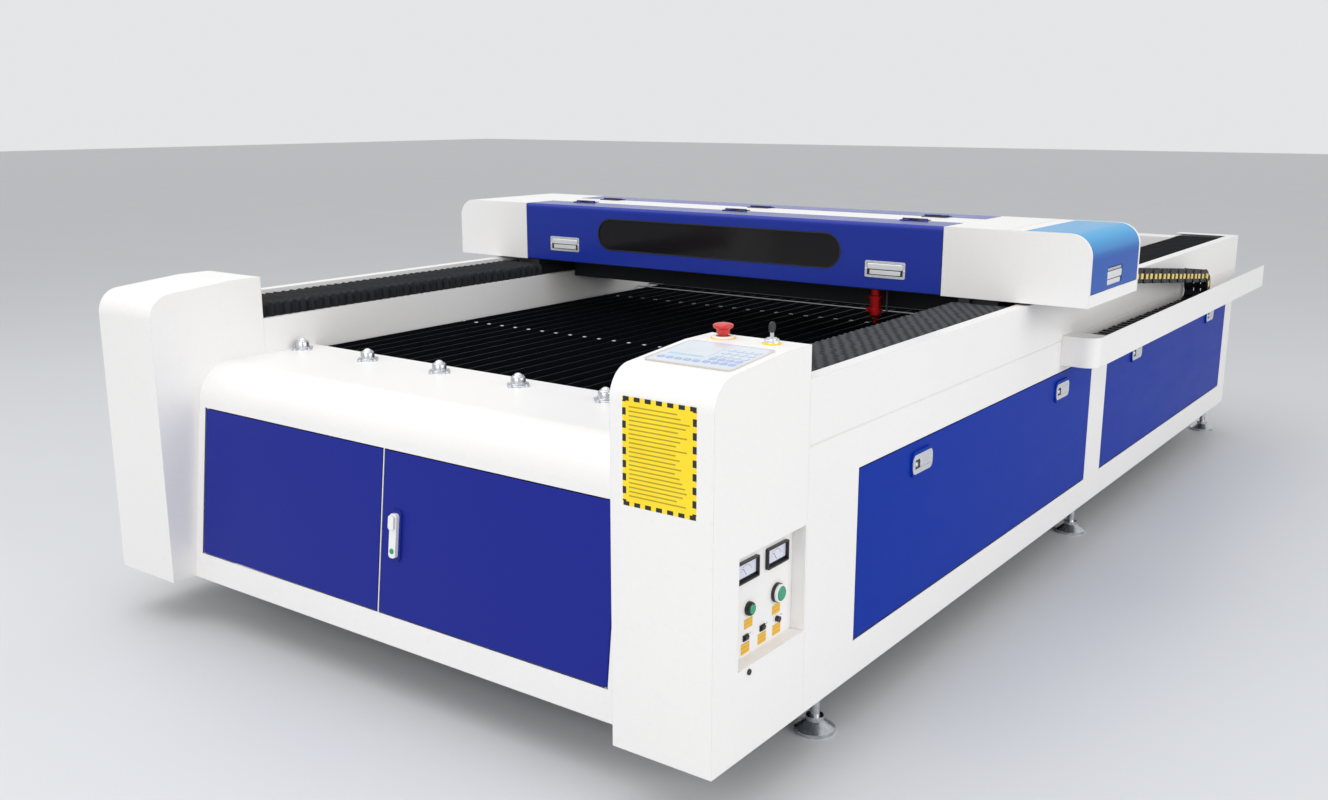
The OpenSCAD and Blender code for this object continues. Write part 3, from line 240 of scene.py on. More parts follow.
def powder_coat(name, shade, gloss, shine, worn=0.0):
    """Baked powder paint on folded sheet: fine orange peel, soft edges, faint wiping marks and cloudiness."""
    paint = Finish(name, shade, gloss, Specular_IOR_Level=shine)
    cloud = paint.noise(0.35, 3)
    wiped = paint.noise(0.05, 4, (1, 0.25, 1))
    dust = paint.ramp(paint.noise(0.012, 2), (0.55, 0.0), (0.80, 1.0))
    dulled = tuple(c * 0.90 for c in shade)
    paint.set(Base_Color=paint.mix(cloud * 0.5 + dust * worn, shade, dulled))
    paint.set(Roughness=gloss + 0.10 * wiped - 0.05 + 0.10 * dust * worn)
    orange_peel = paint.noise(0.0016, 1) + 0.6 * paint.noise(0.0045, 1)
    paint.relief(orange_peel, 0.00006, paint.soften(0.0022))
    return paint


def dress(finish, *nodes):
    """Gives the solids of these nodes that finish."""
    for node in nodes:
        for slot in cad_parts[node].material_slots:
            slot.material = finish.material


white = colour(240, 238, 236)
white_paint = powder_coat("white_powder", white, 0.34, 0.5, 0.25)
dress(white_paint, "front_fascia", "left_tower", "control_tower", "left_side_skin", "right_side_skin",
      "rear_skin", "rail_channels", "chain_tray", "gantry_end_left", "gantry_end_right", "gantry_spine")

# ---------------------------------------------------------------- blue doors and panels
# Pans of sheet steel with a gloss blue powder coat that shows a slight orange peel.
# The doors hang on pins at their outer edges and the side panels on a roll at the bottom.
door_paint = powder_coat("door_blue", (0.013, 0.022, 0.260), 0.34, 0.12, 0.35)
panel_paint = powder_coat("panel_blue", (0.003, 0.030, 0.330), 0.34, 0.04, 0.35)
dress(door_paint, "left_door", "right_door")
dress(panel_paint, "panel_left_front", "panel_left_rear", "panel_right_front", "panel_right_rear")


# ---------------------------------------------------------------- door handle
# A white moulded swing handle with a green push lock at its foot, on a raised white plate.
# It turns sideways on a pivot near its lower end to free the doors.
class Form:
    """Collects faces, then becomes one named piece."""

    def __init__(self):
        self.mesh = bmesh.new()

    def points(self, spots, place):
        return [self.mesh.verts.new(place @ Vector(p)) for p in spots]

    def loft(self, rings, closed=True, caps=True):
        """Joins rings of points, which all have the same count."""
        for a, b in zip(rings, rings[1:]):
            count = len(a)
            for i in range(count if closed else count - 1):
                self.mesh.faces.new((a[i], a[(i + 1) % count], b[(i + 1) % count], b[i]))
        if caps:
            self.mesh.faces.new(list(reversed(rings[0])))
            self.mesh.faces.new(rings[-1])

    def slab(self, outline, low, high, place=Matrix(), ease=0.0):
        """A flat outline drawn out from low to high, with a small chamfer at the high end."""
        rings = [self.points([(x, y, low) for x, y in outline], place)]
        if ease:
            cx = sum(x for x, y in outline) / len(outline)
            cy = sum(y for x, y in outline) / len(outline)
            wide = max(abs(x - cx) for x, y in outline)
            tall = max(abs(y - cy) for x, y in outline)
            rings.append(self.points([(x, y, high - ease) for x, y in outline], place))
            in_x, in_y = 1 - ease / wide, 1 - ease / tall
            outline = [(cx + (x - cx) * in_x, cy + (y - cy) * in_y) for x, y in outline]
        rings.append(self.points([(x, y, high) for x, y in outline], place))
        self.loft(rings)

    def spin(self, profile, place=Matrix(), count=32, caps=True):
        """A profile of (radius, height) pairs spun round the place's own z."""
        turns = [2 * math.pi * i / count for i in range(count)]
        rings = []
        for radius, height in profile:
            radius = max(radius, 1e-5)
            circle = [(radius * math.cos(a), radius * math.sin(a), height) for a in turns]
            rings.append(self.points(circle, place))
        self.loft(rings, caps=caps)

    def block(self, low, high, place=Matrix(), ease=0.0):
        """A box between two corners, with its long edges eased."""
        (x0, y0, z0), (x1, y1, z1) = low, high
        e = min(ease, (x1 - x0) / 3, (y1 - y0) / 3)
        if e:
            outline = [(x0 + e, y0), (x1 - e, y0), (x1, y0 + e), (x1, y1 - e),
                       (x1 - e, y1), (x0 + e, y1), (x0, y1 - e), (x0, y0 + e)]
        else:
            outline = [(x0, y0), (x1, y0), (x1, y1), (x0, y1)]
        self.slab(outline, z0, z1, place, ease=min(ease, (z1 - z0) / 3))

    def frame_round(self, outer, inner, low, high, place):
        """A flat ring between two outlines, from low to high."""
        rings = [self.points([(x, y, z) for x, y in line], place)
                 for line, z in ((outer, low), (outer, high), (inner, high), (inner, low))]
        self.loft(rings + [rings[0]], caps=False)

    def done(self, name, finish, body, slot, angle=35, ride=True):
        """Makes the named piece, and rides it on a body unless ride is false."""
        bmesh.ops.recalc_face_normals(self.mesh, faces=self.mesh.faces)
        data = bpy.data.meshes.new(name)
        self.mesh.to_mesh(data)
        self.mesh.free()
        for face in data.polygons:
            face.use_smooth = True
        data.set_sharp_from_angle(angle=math.radians(angle))
        piece = bpy.data.objects.new(name, data)
        bpy.context.scene.collection.objects.link(piece)
        data.materials.append(finish.material)
        if ride:
            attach(piece, body)
        return piece


def rounded(w, h, r, steps=6):
    """A rectangle with round corners about the middle."""
    x, y = w / 2 - r, h / 2 - r
    out = []
    for cx, cy, start in ((x, y, 0), (-x, y, 90), (-x, -y, 180), (x, -y, 270)):
        for i in range(steps + 1):
            a = math.radians(start + 90 * i / steps)
            out.append((cx + r * math.cos(a), cy + r * math.sin(a)))
    return out


def framed(form, w, h, r, rim, low, high, spot):
    """A flat rectangular rim of that width, with round corners."""
    inner = rounded(w - 2 * rim, h - 2 * rim, max(r - rim, 0.0008))
    form.frame_round(rounded(w, h, r), inner, low, high, spot)


def middle(low, high):
    return Vector([(a + b) / 2 for a, b in zip(low, high)])


def stand(x, y, z, out, up):
    """A place whose own z points out, and whose own y points up."""
    normal = Vector(out).normalized()
    side = Vector(up).cross(normal).normalized()
    spot = Matrix((side, normal.cross(side), normal)).transposed().to_4x4()
    spot.translation = Vector((x, y, z))
    return spot


white_plastic = Finish("white_moulded", colour(236, 236, 234), 0.30)
white_plastic.set(Roughness=0.26 + 0.12 * white_plastic.noise(0.006, 3))
green_plastic = Finish("green_moulded", colour(0, 150, 110), 0.22, Coat_Weight=0.4)
green_plastic.clouded(0.004, 2, colour(0, 158, 116), colour(0, 138, 100))
green_plastic.set(Roughness=0.18 + 0.12 * green_plastic.noise(0.003, 3))
dress(white_plastic, "door_handle")

front_lean = math.radians(6.5)
outwards = (0, -math.cos(front_lean), math.sin(front_lean))
upwards = (0, math.sin(front_lean), math.cos(front_lean))
handle_mid = middle(*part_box("door_handle"))
lock_drop = 0.036
lock = Form()
lock.spin([(0.0066, -0.004), (0.0066, 0.0052), (0.0058, 0.0062), (0, 0.0064)],
          stand(*(handle_mid - lock_drop * Vector(upwards)), outwards, upwards))
lock.done("handle_lock", green_plastic, "handle", "green_plastic")
grip = Form()
framed(grip, 0.0225, 0.104, 0.008, 0.0022, 0.0, 0.0042, stand(*handle_mid, outwards, upwards))
grip.done("handle_rim", white_plastic, "handle", "white_plastic")

# ---------------------------------------------------------------- latches
# Chromed paddle latches let into the upper edge of each side panel.
# Each is a bright rounded plate with a short flap; its finger hollow is a thin dark piece, painted shade.
chrome = Finish("chrome", colour(226, 228, 230), 0.2, Metallic=0.85)
chrome.set(Roughness=0.16 + 0.16 * chrome.noise(0.01, 4))
chrome.clouded(0.02, 3, colour(234, 235, 237), colour(212, 214, 218))
# A dark finish: painted shade in the latch and pull hollows, and the print of the meters' scales.
shade_and_print_dark = Finish("shade_and_print_dark", colour(34, 34, 38), 0.5)
shade_and_print_dark.set(Roughness=0.4 + 0.25 * shade_and_print_dark.noise(0.004, 3))
forwards, backwards, sideways, level_up = (0, -1, 0), (0, 1, 0), (1, 0, 0), (0, 0, 1)


def shifted(x, y, z):
    return Matrix.Translation((x, y, z))


latch_below_top = 0.052
latch_from_front, latch_from_rear = 0.305, 0.273
for name, body, sign in (("panel_left_front", "panel_lf", -1), ("panel_left_rear", "panel_lr", -1),
                         ("panel_right_front", "panel_rf", 1), ("panel_right_rear", "panel_rr", 1)):
    low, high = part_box(name)
    face = high[0] if sign > 0 else low[0]
    for number, y in enumerate((low[1] + latch_from_front, high[1] - latch_from_rear)):
        plate, flap, hollow = Form(), Form(), Form()
        spot = stand(face, y, high[2] - latch_below_top, (sign, 0, 0), level_up)
        framed(plate, 0.1044, 0.0460, 0.0140, 0.0120, -0.0010, 0.0014, spot)
        # The dark sheet in the hollow is painted shade.
        hollow.slab(rounded(0.0820, 0.0240, 0.003), -0.0020, 0.0002, spot)
        flap.slab(rounded(0.0540, 0.0216, 0.003), -0.0010, 0.0016, spot @ shifted(sign * 0.0130, 0, 0),
                  ease=0.0006)
        flap.spin([(0.0058, -0.001), (0.0058, 0.0012), (0.0050, 0.0020), (0, 0.0020)],
                  spot @ shifted(sign * -0.0330, 0, 0), 24)
        plate.done(f"latch_plate_{name}_{number}", chrome, body, "chrome")
        hollow.done(f"latch_hollow_{name}_{number}", shade_and_print_dark, body, "black_plastic")
        flap.done(f"latch_flap_{name}_{number}", chrome, body, "chrome")

# ---------------------------------------------------------------- keypad
# A printed membrane keypad on the sloping top of the right tower.
# Pale grey field, a bluish display window, and soft keys under a clear matt film.
pale_edge = Finish("keypad_rim", colour(204, 200, 192), 0.4)
pale_edge.set(Roughness=0.34 + 0.2 * pale_edge.noise(0.006, 3))
membrane = Finish("membrane", colour(206, 218, 232), 0.35, Coat_Weight=0.3)
membrane.clouded(0.03, 2, colour(216, 221, 227), colour(202, 210, 220))
membrane.relief(membrane.noise(0.0008, 1), 0.00003)
dress(membrane, "keypad_panel")
key_blue = Finish("key_blue", colour(168, 184, 216), 0.4)
key_blue.clouded(0.01, 2, colour(174, 188, 218), colour(156, 174, 210))
display = Finish("display", colour(172, 204, 220), 0.14, Coat_Weight=0.4)
display.clouded(0.02, 2, colour(180, 210, 224), colour(158, 194, 214))
pad_thick = 0.003
pad_low, pad_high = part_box("keypad_panel")
pad_slope = math.atan2(pad_high[2] - pad_low[2] - pad_thick, pad_high[1] - pad_low[1])
pad_up = (0, math.cos(pad_slope), math.sin(pad_slope))
pad_out = (0, -math.sin(pad_slope), math.cos(pad_slope))


def on_pad(across, up):
    """A place on the pad's face, from its middle."""
    spot = middle(pad_low, pad_high) + across * Vector(sideways) + up * Vector(pad_up)
    return stand(*spot, pad_out, pad_up)


edge = Form()
framed(edge, 0.196, 0.160, 0.010, 0.0016, -0.0012, 0.0018, on_pad(0, 0))
edge.done("keypad_edge", pale_edge, "base", "keypad")
window = Form()
window.slab(rounded(0.080, 0.072, 0.003), 0.0, 0.0019, on_pad(-0.0385, 0.006), ease=0.0003)
window.done("keypad_display", display, "base", "keypad")
keys = Form()
key_thick, key_ease = 0.0021, 0.0004
key_places = [(0.0135, 0.0135, 0.023 + column * 0.019, -0.046 + row * 0.022)
              for row in range(5) for column in range(4)]
key_places += [(0.0145, 0.0105, -0.077 + column * 0.020, -0.050) for column in range(5)]
for wide, tall, across, up in key_places:
    keys.slab(rounded(wide, tall, 0.003), 0.0, key_thick, on_pad(across, up), ease=key_ease)
keys.done("keypad_keys", key_blue, "base", "keypad")

# ---------------------------------------------------------------- stop button and key switch
# A red mushroom head on a white and yellow collar, and a small key switch in a bright ring beside it.
# Both screw through the tower's top from below.
red_plastic = Finish("red_moulded", colour(205, 28, 24), 0.28, Coat_Weight=0.3)
red_plastic.clouded(0.01, 3, colour(212, 32, 26), colour(184, 20, 18))
red_plastic.set(Roughness=0.22 + 0.16 * red_plastic.noise(0.004, 3))
tinted_red = Finish("arrow_red", colour(232, 96, 84), 0.3)
tinted_red.set(Roughness=0.26 + 0.12 * tinted_red.noise(0.004, 2))
black_plastic = Finish("black_moulded", colour(26, 26, 29), 0.34)
black_plastic.set(Roughness=0.28 + 0.2 * black_plastic.noise(0.005, 3))
yellow_plastic = Finish("yellow_moulded", colour(250, 214, 20), 0.4)
yellow_plastic.clouded(0.02, 2, colour(252, 218, 24), colour(236, 196, 12))
dress(red_plastic, "estop_button")
dress(black_plastic, "switch_bezels", "panel_meters")
dress(chrome, "key_barrel")
tower_low, tower_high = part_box("control_tower")


def turned(degrees, axis):
    return Matrix.Rotation(math.radians(degrees), 4, axis)


on_stop, on_key = (shifted(*middle(*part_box(node)).xy, tower_high[2])
                   for node in ("estop_button", "key_barrel"))
collar = Form()
collar.spin([(0.0146, 0.0003), (0.0215, 0.0003), (0.0215, 0.0036), (0.0205, 0.0047), (0.0146, 0.0047)],
            on_stop, 48, caps=False)
collar.done("stop_collar", white_plastic, "base", "white_plastic")
washers = Form()
washers.spin([(0.0200, 0.0001), (0.0262, 0.0001), (0.0262, 0.0007), (0.0200, 0.0009)],
             on_stop, 48, caps=False)
washers.spin([(0.0150, 0.0001), (0.0190, 0.0001), (0.0190, 0.0020), (0.0150, 0.0026)],
             on_key, 48, caps=False)
washers.done("switch_washers", yellow_plastic, "base", "black_plastic")
ring = Form()
ring.spin([(0.0152, 0.002), (0.0152, 0.0086), (0.0140, 0.0096), (0.0102, 0.0098), (0.0102, 0.002)],
          on_key, 48, caps=False)
ring.done("key_switch_ring", chrome, "base", "chrome")
mushroom = Form()
mushroom.spin([(0.0098, -0.014), (0.0098, 0.0083), (0.0138, 0.0092), (0.0138, 0.0170), (0.0150, 0.0195),
               (0.0188, 0.0205), (0.0204, 0.0222), (0.0209, 0.0242), (0.0204, 0.0264), (0.0188, 0.0280),
               (0.0150, 0.0292), (0.0080, 0.0300), (0, 0.0302)], on_stop, 48)
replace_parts(mushroom.done("stop_mushroom", red_plastic, "estop", "red_plastic", angle=50), "estop_button")
bow = Form()
bow_high = 0.0325
bow.slab(rounded(0.0216, 0.0216, 0.0100), -0.0018, 0.0018,
         on_key @ shifted(0, 0, bow_high) @ stand(0, 0, 0, sideways, level_up), ease=0.0004)
bow.done("key_bow", black_plastic, "key", "black_plastic")
arrows = Form()
for turn in range(3):
    arrows.slab([(0.008, -0.003), (0.013, 0), (0.008, 0.003), (0.009, 0)], -0.0004, 0.0008,
                on_stop @ shifted(0, 0, 0.0294) @ turned(120 * turn, "Z"))
arrows.done("stop_arrows", tinted_red, "estop", "red_plastic")

# ---------------------------------------------------------------- operator's plate
# Thin printed yellow vinyl, stuck on the front of the right tower.
# It has a black and yellow dashed border, and rows of plain bars where a text would be.
plate_wide, plate_tall, plate_thick = 0.166, 0.208, 0.0005
plate_x, plate_z = (tower_low[0] + tower_high[0]) / 2 - 0.0035, 0.7245
dashes_per_metre, rows_per_metre = 40, 118
plate_film = Finish("yellow_film", colour(250, 220, 30), 0.38)
across = plate_film.axis("X") - plate_x
height = plate_film.axis("Z") - plate_z
u = across * (2 / plate_wide)
v = height * (2 / plate_tall)
inside_u, inside_v = u.alone("ABSOLUTE"), v.alone("ABSOLUTE")
border = 1 - (inside_u < 0.90) * (inside_v < 0.92)
along_top = 1 - (inside_v < 0.92)
dash_u, dash_v = ((run * dashes_per_metre + 100.25).alone("FRACT") for run in (across, height))
dashes = border * (along_top * (dash_u < 0.55) + (1 - along_top) * (dash_v < 0.55))
rows = height * rows_per_metre + 100.1
row_seed = plate_film.node("ShaderNodeTexWhiteNoise", {"noise_dimensions": "1D"}, {"W": rows.alone("FLOOR")})
bars = (rows.alone("FRACT") < 0.34) * (inside_v < 0.86) * (u < 0.42 + 0.42 * row_seed) * (u > -0.82)
field = plate_film.mix(plate_film.noise(0.05, 2), colour(252, 224, 34), colour(244, 210, 22))
printed = plate_film.mix(bars * 0.55, field, colour(40, 38, 20))
plate_film.set(Base_Color=plate_film.mix(dashes, printed, colour(24, 24, 22)))
plate_film.set(Roughness=0.30 + 0.15 * plate_film.noise(0.02, 3))
plate = Form()
plate.slab(rounded(plate_wide, plate_tall, 0.002), 0.0, plate_thick,
           stand(plate_x, tower_low[1] + 0.0001, plate_z, forwards, level_up))
plate.done("operator_plate", plate_film, "base", "white_paint")

# ---------------------------------------------------------------- side switches and meters
# Standard panel parts in the recess of the right tower: two meters, two green buttons, three switches.
# Each clicks into its own hole, and a plain yellow tag is stuck beside each switch.
tag_film = Finish("tag_film", colour(232, 178, 44), 0.45)
tag_bar = (tag_film.axis("Z") * 130).alone("FRACT")
tag_film.set(Base_Color=tag_film.mix((tag_bar < 0.3) * 0.35, colour(234, 182, 46), colour(150, 108, 20)))
lit_face = Finish("meter_face", colour(222, 224, 236), 0.25, Coat_Weight=0.6)
lit_face.clouded(0.02, 2, colour(228, 229, 240), colour(206, 209, 226))
dress(green_plastic, "power_button", "laser_button")
meter_wide, meter_tall = 0.079, 0.043
meters_low, meters_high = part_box("panel_meters")
meter_z = (meters_low[2] + meters_high[2]) / 2


def on_recess(y, z, out=0.0):
    return stand(meters_low[0] + out, y, z, sideways, level_up)


bezels, faces, scales = Form(), Form(), Form()
pivot_drop, scale_radius, needle_radius = 0.009, 0.020, 0.009
for y in (meters_low[1] + meter_wide / 2, meters_high[1] - meter_wide / 2):
    framed(bezels, meter_wide, meter_tall, 0.003, 0.0036, 0.0, 0.0070, on_recess(y, meter_z))
    framed(bezels, 0.072, 0.036, 0.001, 0.0008, 0.0002, 0.0062, on_recess(y, meter_z))
    bezels.slab(rounded(0.0735, 0.0375, 0.001), 0.0001, 0.0006, on_recess(y, meter_z))
    faces.slab(rounded(0.0690, 0.0290, 0.001), 0.0006, 0.0012, on_recess(y, meter_z + 0.0020))
    lines = [(150 - 15 * tick, scale_radius, 0.0008, 0.0030, 0.0012) for tick in range(9)]
    lines.append((128, needle_radius, 0.0007, 0.018, 0.0014))
    for angle, radius, wide, tall, out in lines:
        a = math.radians(angle)
        mark = on_recess(y + radius * math.cos(a), meter_z - pivot_drop + radius * math.sin(a), out)
        scales.slab(rounded(wide, tall, 0.0003, 1), -0.0002, 0.0003, mark @ turned(angle - 90, "Z"))
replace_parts(bezels.done("meter_bezels", black_plastic, "base", "black_plastic"), "panel_meters")
faces.done("meter_faces", lit_face, "base", "white_plastic")
scales.done("meter_scales", shade_and_print_dark, "base", "black_plastic")

for name, body, ring_finish, ring_slot, stem, wide, base, top, skirt in (
        ("power", "power", white_plastic, "white_plastic", 0.0098, 0.0185, 0.0065, 0.0150, 0.0036),
        ("laser", "laser_on", black_plastic, "black_plastic", 0.0068, 0.0128, 0.0055, 0.0120, 0.0026)):
    low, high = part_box(f"{name}_button")
    spot = on_recess(*middle(low, high).yz)
    radius = (high[1] - low[1]) / 2
    bore, brim = radius + 0.0004, top - 0.0020
    halo, cap = Form(), Form()
    halo.spin([(bore, base), (wide, base), (wide, brim - 0.0012), (wide - 0.0010, brim), (bore, brim)],
              spot, 48, caps=False)
    halo.done(f"{name}_ring", ring_finish, "base", ring_slot)
    cap.spin([(stem, -0.014), (stem, top - skirt - 0.0002), (radius, top - skirt), (radius, top - 0.0012),
              (radius - 0.0012, top - 0.0002), (radius * 0.7, top), (0, top - 0.0006)], spot, 40)
    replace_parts(cap.done(f"{name}_cap", green_plastic, body, "green_plastic", angle=40), f"{name}_button")

tags, lamps = Form(), Form()
recess_front = tower_low[1] + 0.087
small_switch_ys = (0.071, 0.132, 0.187)
tag_places = [(0.081, 0.371, 0.020), (0.184, 0.366, 0.020)] + [(y, 0.322, 0.022) for y in small_switch_ys]
for y, z, tall in tag_places:
    tags.slab(rounded(0.030, tall, 0.001, 2), 0.0001, 0.0005, on_recess(recess_front + y, z))
tags.done("switch_tags", tag_film, "base", "white_plastic")
for y in small_switch_ys:
    lamps.spin([(0.0022, 0.0), (0.0022, 0.0012), (0, 0.0018)], on_recess(recess_front + y + 0.017, 0.348), 16)
lamps.done("switch_lamps", chrome, "base", "chrome")

# ---------------------------------------------------------------- slat bed
# Knife slats of black steel strip stand on edge in notched cross bars, over a shallow scrap tray.
# Bright screws hold the slats in rows, and a strip covers the joint between the two tables.
slat_paint = Finish("slat_black", colour(10, 12, 16), 0.6, Specular_IOR_Level=0.05)
slat_paint.clouded(0.05, 4, colour(9, 11, 15), colour(17, 19, 24))
slat_paint.set(Roughness=0.42 + 0.2 * slat_paint.noise(0.03, 4))
frame_paint = powder_coat("frame_grey", colour(150, 153, 158), 0.5, 0.4, 0.3)
zinc = Finish("bright_zinc", colour(205, 207, 210), 0.24, Metallic=1.0)
zinc.clouded(0.015, 4, colour(212, 214, 217), colour(176, 179, 184))
zinc.set(Roughness=0.16 + 0.2 * zinc.noise(0.008, 4))
strip_grey = Finish("strip_grey", colour(122, 123, 122), 0.45, Metallic=0.4)
strip_grey.set(Roughness=0.38 + 0.2 * strip_grey.noise(0.02, 3))
dress(slat_paint, "knife_slats", "slat_supports", "scrap_tray")
dress(frame_paint, "base_frame", "laser_power_supply")
dress(zinc, "levelling_feet", "ball_transfers")
bed_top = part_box("knife_slats")[1][2]
slat_pitch, slat_count = 0.055, 26
screw_rows = (-0.926, -0.207, 0.512, 1.231)
screws = Form()
for y in screw_rows:
    for number in range(slat_count):
        x = (number - (slat_count - 1) / 2) * slat_pitch
        screws.spin([(0.0070, -0.0004), (0.0070, 0.0012), (0.0056, 0.0022), (0, 0.0025)],
                    shifted(x, y, bed_top), 12)
screws.done("slat_screws", zinc, "base", "zinc")
strip = Form()
strip.block((-0.730, 0.0345, bed_top + 0.0001), (0.730, 0.0455, bed_top + 0.0022), ease=0.0008)
strip.done("table_joint_strip", strip_grey, "base", "zinc")

# ---------------------------------------------------------------- ball transfer units
# Steel balls in pressed cups along the front beam, so that a heavy sheet rolls in over it.
# Each cup is drawn from zinc-plated sheet and screwed down by four lugs.
ball_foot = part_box("ball_transfers")[0][2]
ball_count, ball_pitch, ball_first_x, ball_y = 6, 0.271, -0.708, -1.5355
ball_radius, ball_up, lug_out = 0.0126, 0.0190, 0.0270
ball_arc = [(ball_radius * math.cos(math.radians(a)), ball_up + ball_radius * math.sin(math.radians(a)))
            for a in range(-50, 91, 10)]
cups, balls = Form(), Form()
for number in range(ball_count):
    spot = shifted(ball_first_x + ball_pitch * number, ball_y, ball_foot)
    cups.spin([(lug_out, 0.0), (lug_out, 0.0026), (0.0255, 0.0036), (0.0200, 0.0044), (0.0186, 0.0062),
               (0.0180, ball_up), (0.0164, 0.0226), (0.0136, 0.0248), (0.0122, 0.0242), (0.0122, 0.0200)],
              spot, 40, caps=False)
    for turn in range(4):
        lug = spot @ turned(90 * turn, "Z") @ shifted(lug_out, 0, 0)
        cups.slab(rounded(0.0150, 0.0120, 0.0050), 0.0, 0.0034, lug, ease=0.0008)
        cups.spin([(0.0036, 0.0030), (0.0036, 0.0046), (0.0026, 0.0056), (0, 0.0058)], lug, 16)
    balls.spin(ball_arc, spot, 40)
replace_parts(cups.done("transfer_cups", zinc, "base", "zinc"), "ball_transfers")
balls.done("transfer_balls", chrome, "base", "chrome")

# ---------------------------------------------------------------- rails, belts and drive
# Ground steel rails and toothed belts run in the side channels, under the bellows.
# One motor turns a long shaft, so both belts pull the gantry together.
ground_steel = Finish("ground_steel", colour(196, 198, 202), 0.2, Metallic=1.0)
ground_steel.set(Roughness=0.14 + 0.16 * ground_steel.noise(0.02, 4, (1, 0.1, 1)))
ground_steel.clouded(0.05, 3, colour(202, 204, 208), colour(170, 172, 178))
tooth_pitch = 0.005
rubber = Finish("belt_rubber", colour(24, 24, 26), 0.62)
teeth = ((rubber.axis("X") + rubber.axis("Y")) * (2 * math.pi / tooth_pitch)).alone("SINE")
rubber.relief(teeth, 0.0004)
rubber.set(Roughness=0.55 + 0.2 * rubber.noise(0.01, 3))
motor_black = Finish("motor_black", colour(34, 34, 37), 0.42)
motor_black.set(Roughness=0.34 + 0.2 * motor_black.noise(0.01, 4))
motor_black.clouded(0.04, 3, colour(30, 30, 33), colour(44, 44, 48))
milled = Finish("milled_aluminium", colour(190, 192, 196), 0.3, Metallic=1.0)
milled.set(Roughness=0.24 + 0.2 * milled.noise(0.012, 4))
milled.clouded(0.03, 3, colour(196, 198, 202), colour(168, 170, 175))
dress(ground_steel, "y_rails", "belt_idlers", "y_drive_shaft", "x_rail")
dress(rubber, "y_belts", "x_belt")
# The motors, mounts and controller are black; the gantry's trucks and the head carriage get the same black as
# painted shade.
dress(motor_black, "y_motor", "x_motor", "tube_mounts", "motion_controller", "gantry_trucks", "head_carriage")
dress(milled, "x_drive_pulley", "x_idler_pulley")

# ---------------------------------------------------------------- bellows
# Pleated skins of black coated cloth cover both channels, before and behind the gantry.
# Each run is stitched at its wall and at the gantry.
skin_low, skin_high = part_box("bellows_front")
skin_inner, skin_outer = 0.7455, 0.9325
fold_pitch, fold_deep = 0.0290, 0.0095
front_wall_y, gantry_front_y = -1.6365, -0.4728
rear_wall_y, gantry_rear_y = 1.8655, -0.0622
cloth = Finish("bellows_cloth", colour(26, 27, 31), 0.55, Specular_IOR_Level=0.08)
# Painted sheen: the cloth is painted lighter along the pleat crests and in slanting bands, mainly on the
# front runs, and far more on the right-hand run than on the left.
crest_highlight = cloth.ramp((cloth.axis("Z") - (skin_high[2] - 0.0100)) * 110, (0.45, 0.0), (0.95, 1.0))
rubbed = cloth.mix(cloth.noise(0.02, 4), colour(20, 21, 24), colour(32, 33, 37))
slant = cloth.axis("X") * 0.87 + cloth.axis("Y") * 0.55 + cloth.noise(0.045, 3) * 0.016
sheen_ripple = 0.5 + 0.5 * (slant * 260).alone("SINE")
near = cloth.ramp(cloth.axis("Y") * -1, (0.0, 0.0), (0.45, 1.0))
right = cloth.ramp(cloth.axis("X"), (0.0, 0.12), (0.3, 1.0))
painted_sheen = (0.12 + 0.30 * crest_highlight + 0.75 * sheen_ripple) * near * right
cloth.set(Base_Color=cloth.mix(painted_sheen, rubbed, colour(74, 76, 80)))
cloth.set(Roughness=0.40 + 0.22 * cloth.noise(0.008, 3))
cloth.relief(cloth.noise(0.0011, 1), 0.00008)


def share_at(weight):
    """Where the smooth step reaches a weight."""
    return 0.5 - math.sin(math.asin(1 - 2 * weight) / 3)


def bend_evenly(piece, low, high, weight_low, weight_high):
    """Bakes the piece's place into its mesh; the stretch's share of the gantry's travel is worked out but not
    used.
    """
    a, b = share_at(weight_low), share_at(weight_high)
    reach = (high - low) / (b - a)
    low - a * reach
    low + (1 - a) * reach
    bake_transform(piece)


def between(low, high, share):
    return low + (high - low) * share


def pleat_line(step, last):
    """The skin's section at one step of its folds: (x, lag along the run, z) from inner hem to outer hem."""
    drop = fold_deep * (1 - (0.0, 0.5, 1.0, 0.5)[step % 4])
    inner, outer = skin_inner + drop * 0.8, skin_outer - drop * 0.8
    top, hem = skin_high[2] - 0.0006 - drop, skin_low[2] + 0.0004
    slack = 0.0 if step in (0, last) else 0.0045
    line = [(inner, 0, hem), (inner, 0, top - 0.010), (inner + 0.003, 0, top - 0.004)]
    for k in range(9):
        x = inner + 0.010 + (outer - inner - 0.020) * k / 8
        lag = slack * math.sin(x * 62 + 0.5 * (step // 4))
        line.append((x, lag, top + 0.0004 * math.sin(math.pi * k / 8)))
    return line + [(outer - 0.003, 0, top - 0.004), (outer, 0, top - 0.010), (outer, 0, hem)]


def pleated_run(name, sign, fixed, moving, parts, node):
    """One run of bellows from its fixed end to the gantry, in parts that share their edges."""
    steps = 4 * max(4, round(abs(moving - fixed) / parts / fold_pitch))
    for part in range(parts):
        form, rings = Form(), []
        for step in range(steps + 1):
            y = between(fixed, moving, (part + step / steps) / parts)
            line = [(sign * x, y + lag, z) for x, lag, z in pleat_line(step, steps)]
            rings.append(form.points(line, Matrix()))
        form.loft(rings, closed=False, caps=False)
        piece = form.done(f"{name}_{part}", cloth, "gantry", "bellows_fabric", angle=28, ride=False)
        a, b = part / parts, (part + 1) / parts
        bend_evenly(piece, between(fixed, moving, a), between(fixed, moving, b), a, b)
        if part == 0:
            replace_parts(piece, node)


for side, sign in (("left", -1), ("right", 1)):
    pleated_run(f"bellows_front_{side}", sign, front_wall_y, gantry_front_y, 6, "bellows_front")
    pleated_run(f"bellows_rear_{side}", sign, rear_wall_y, gantry_rear_y, 8, "bellows_rear")

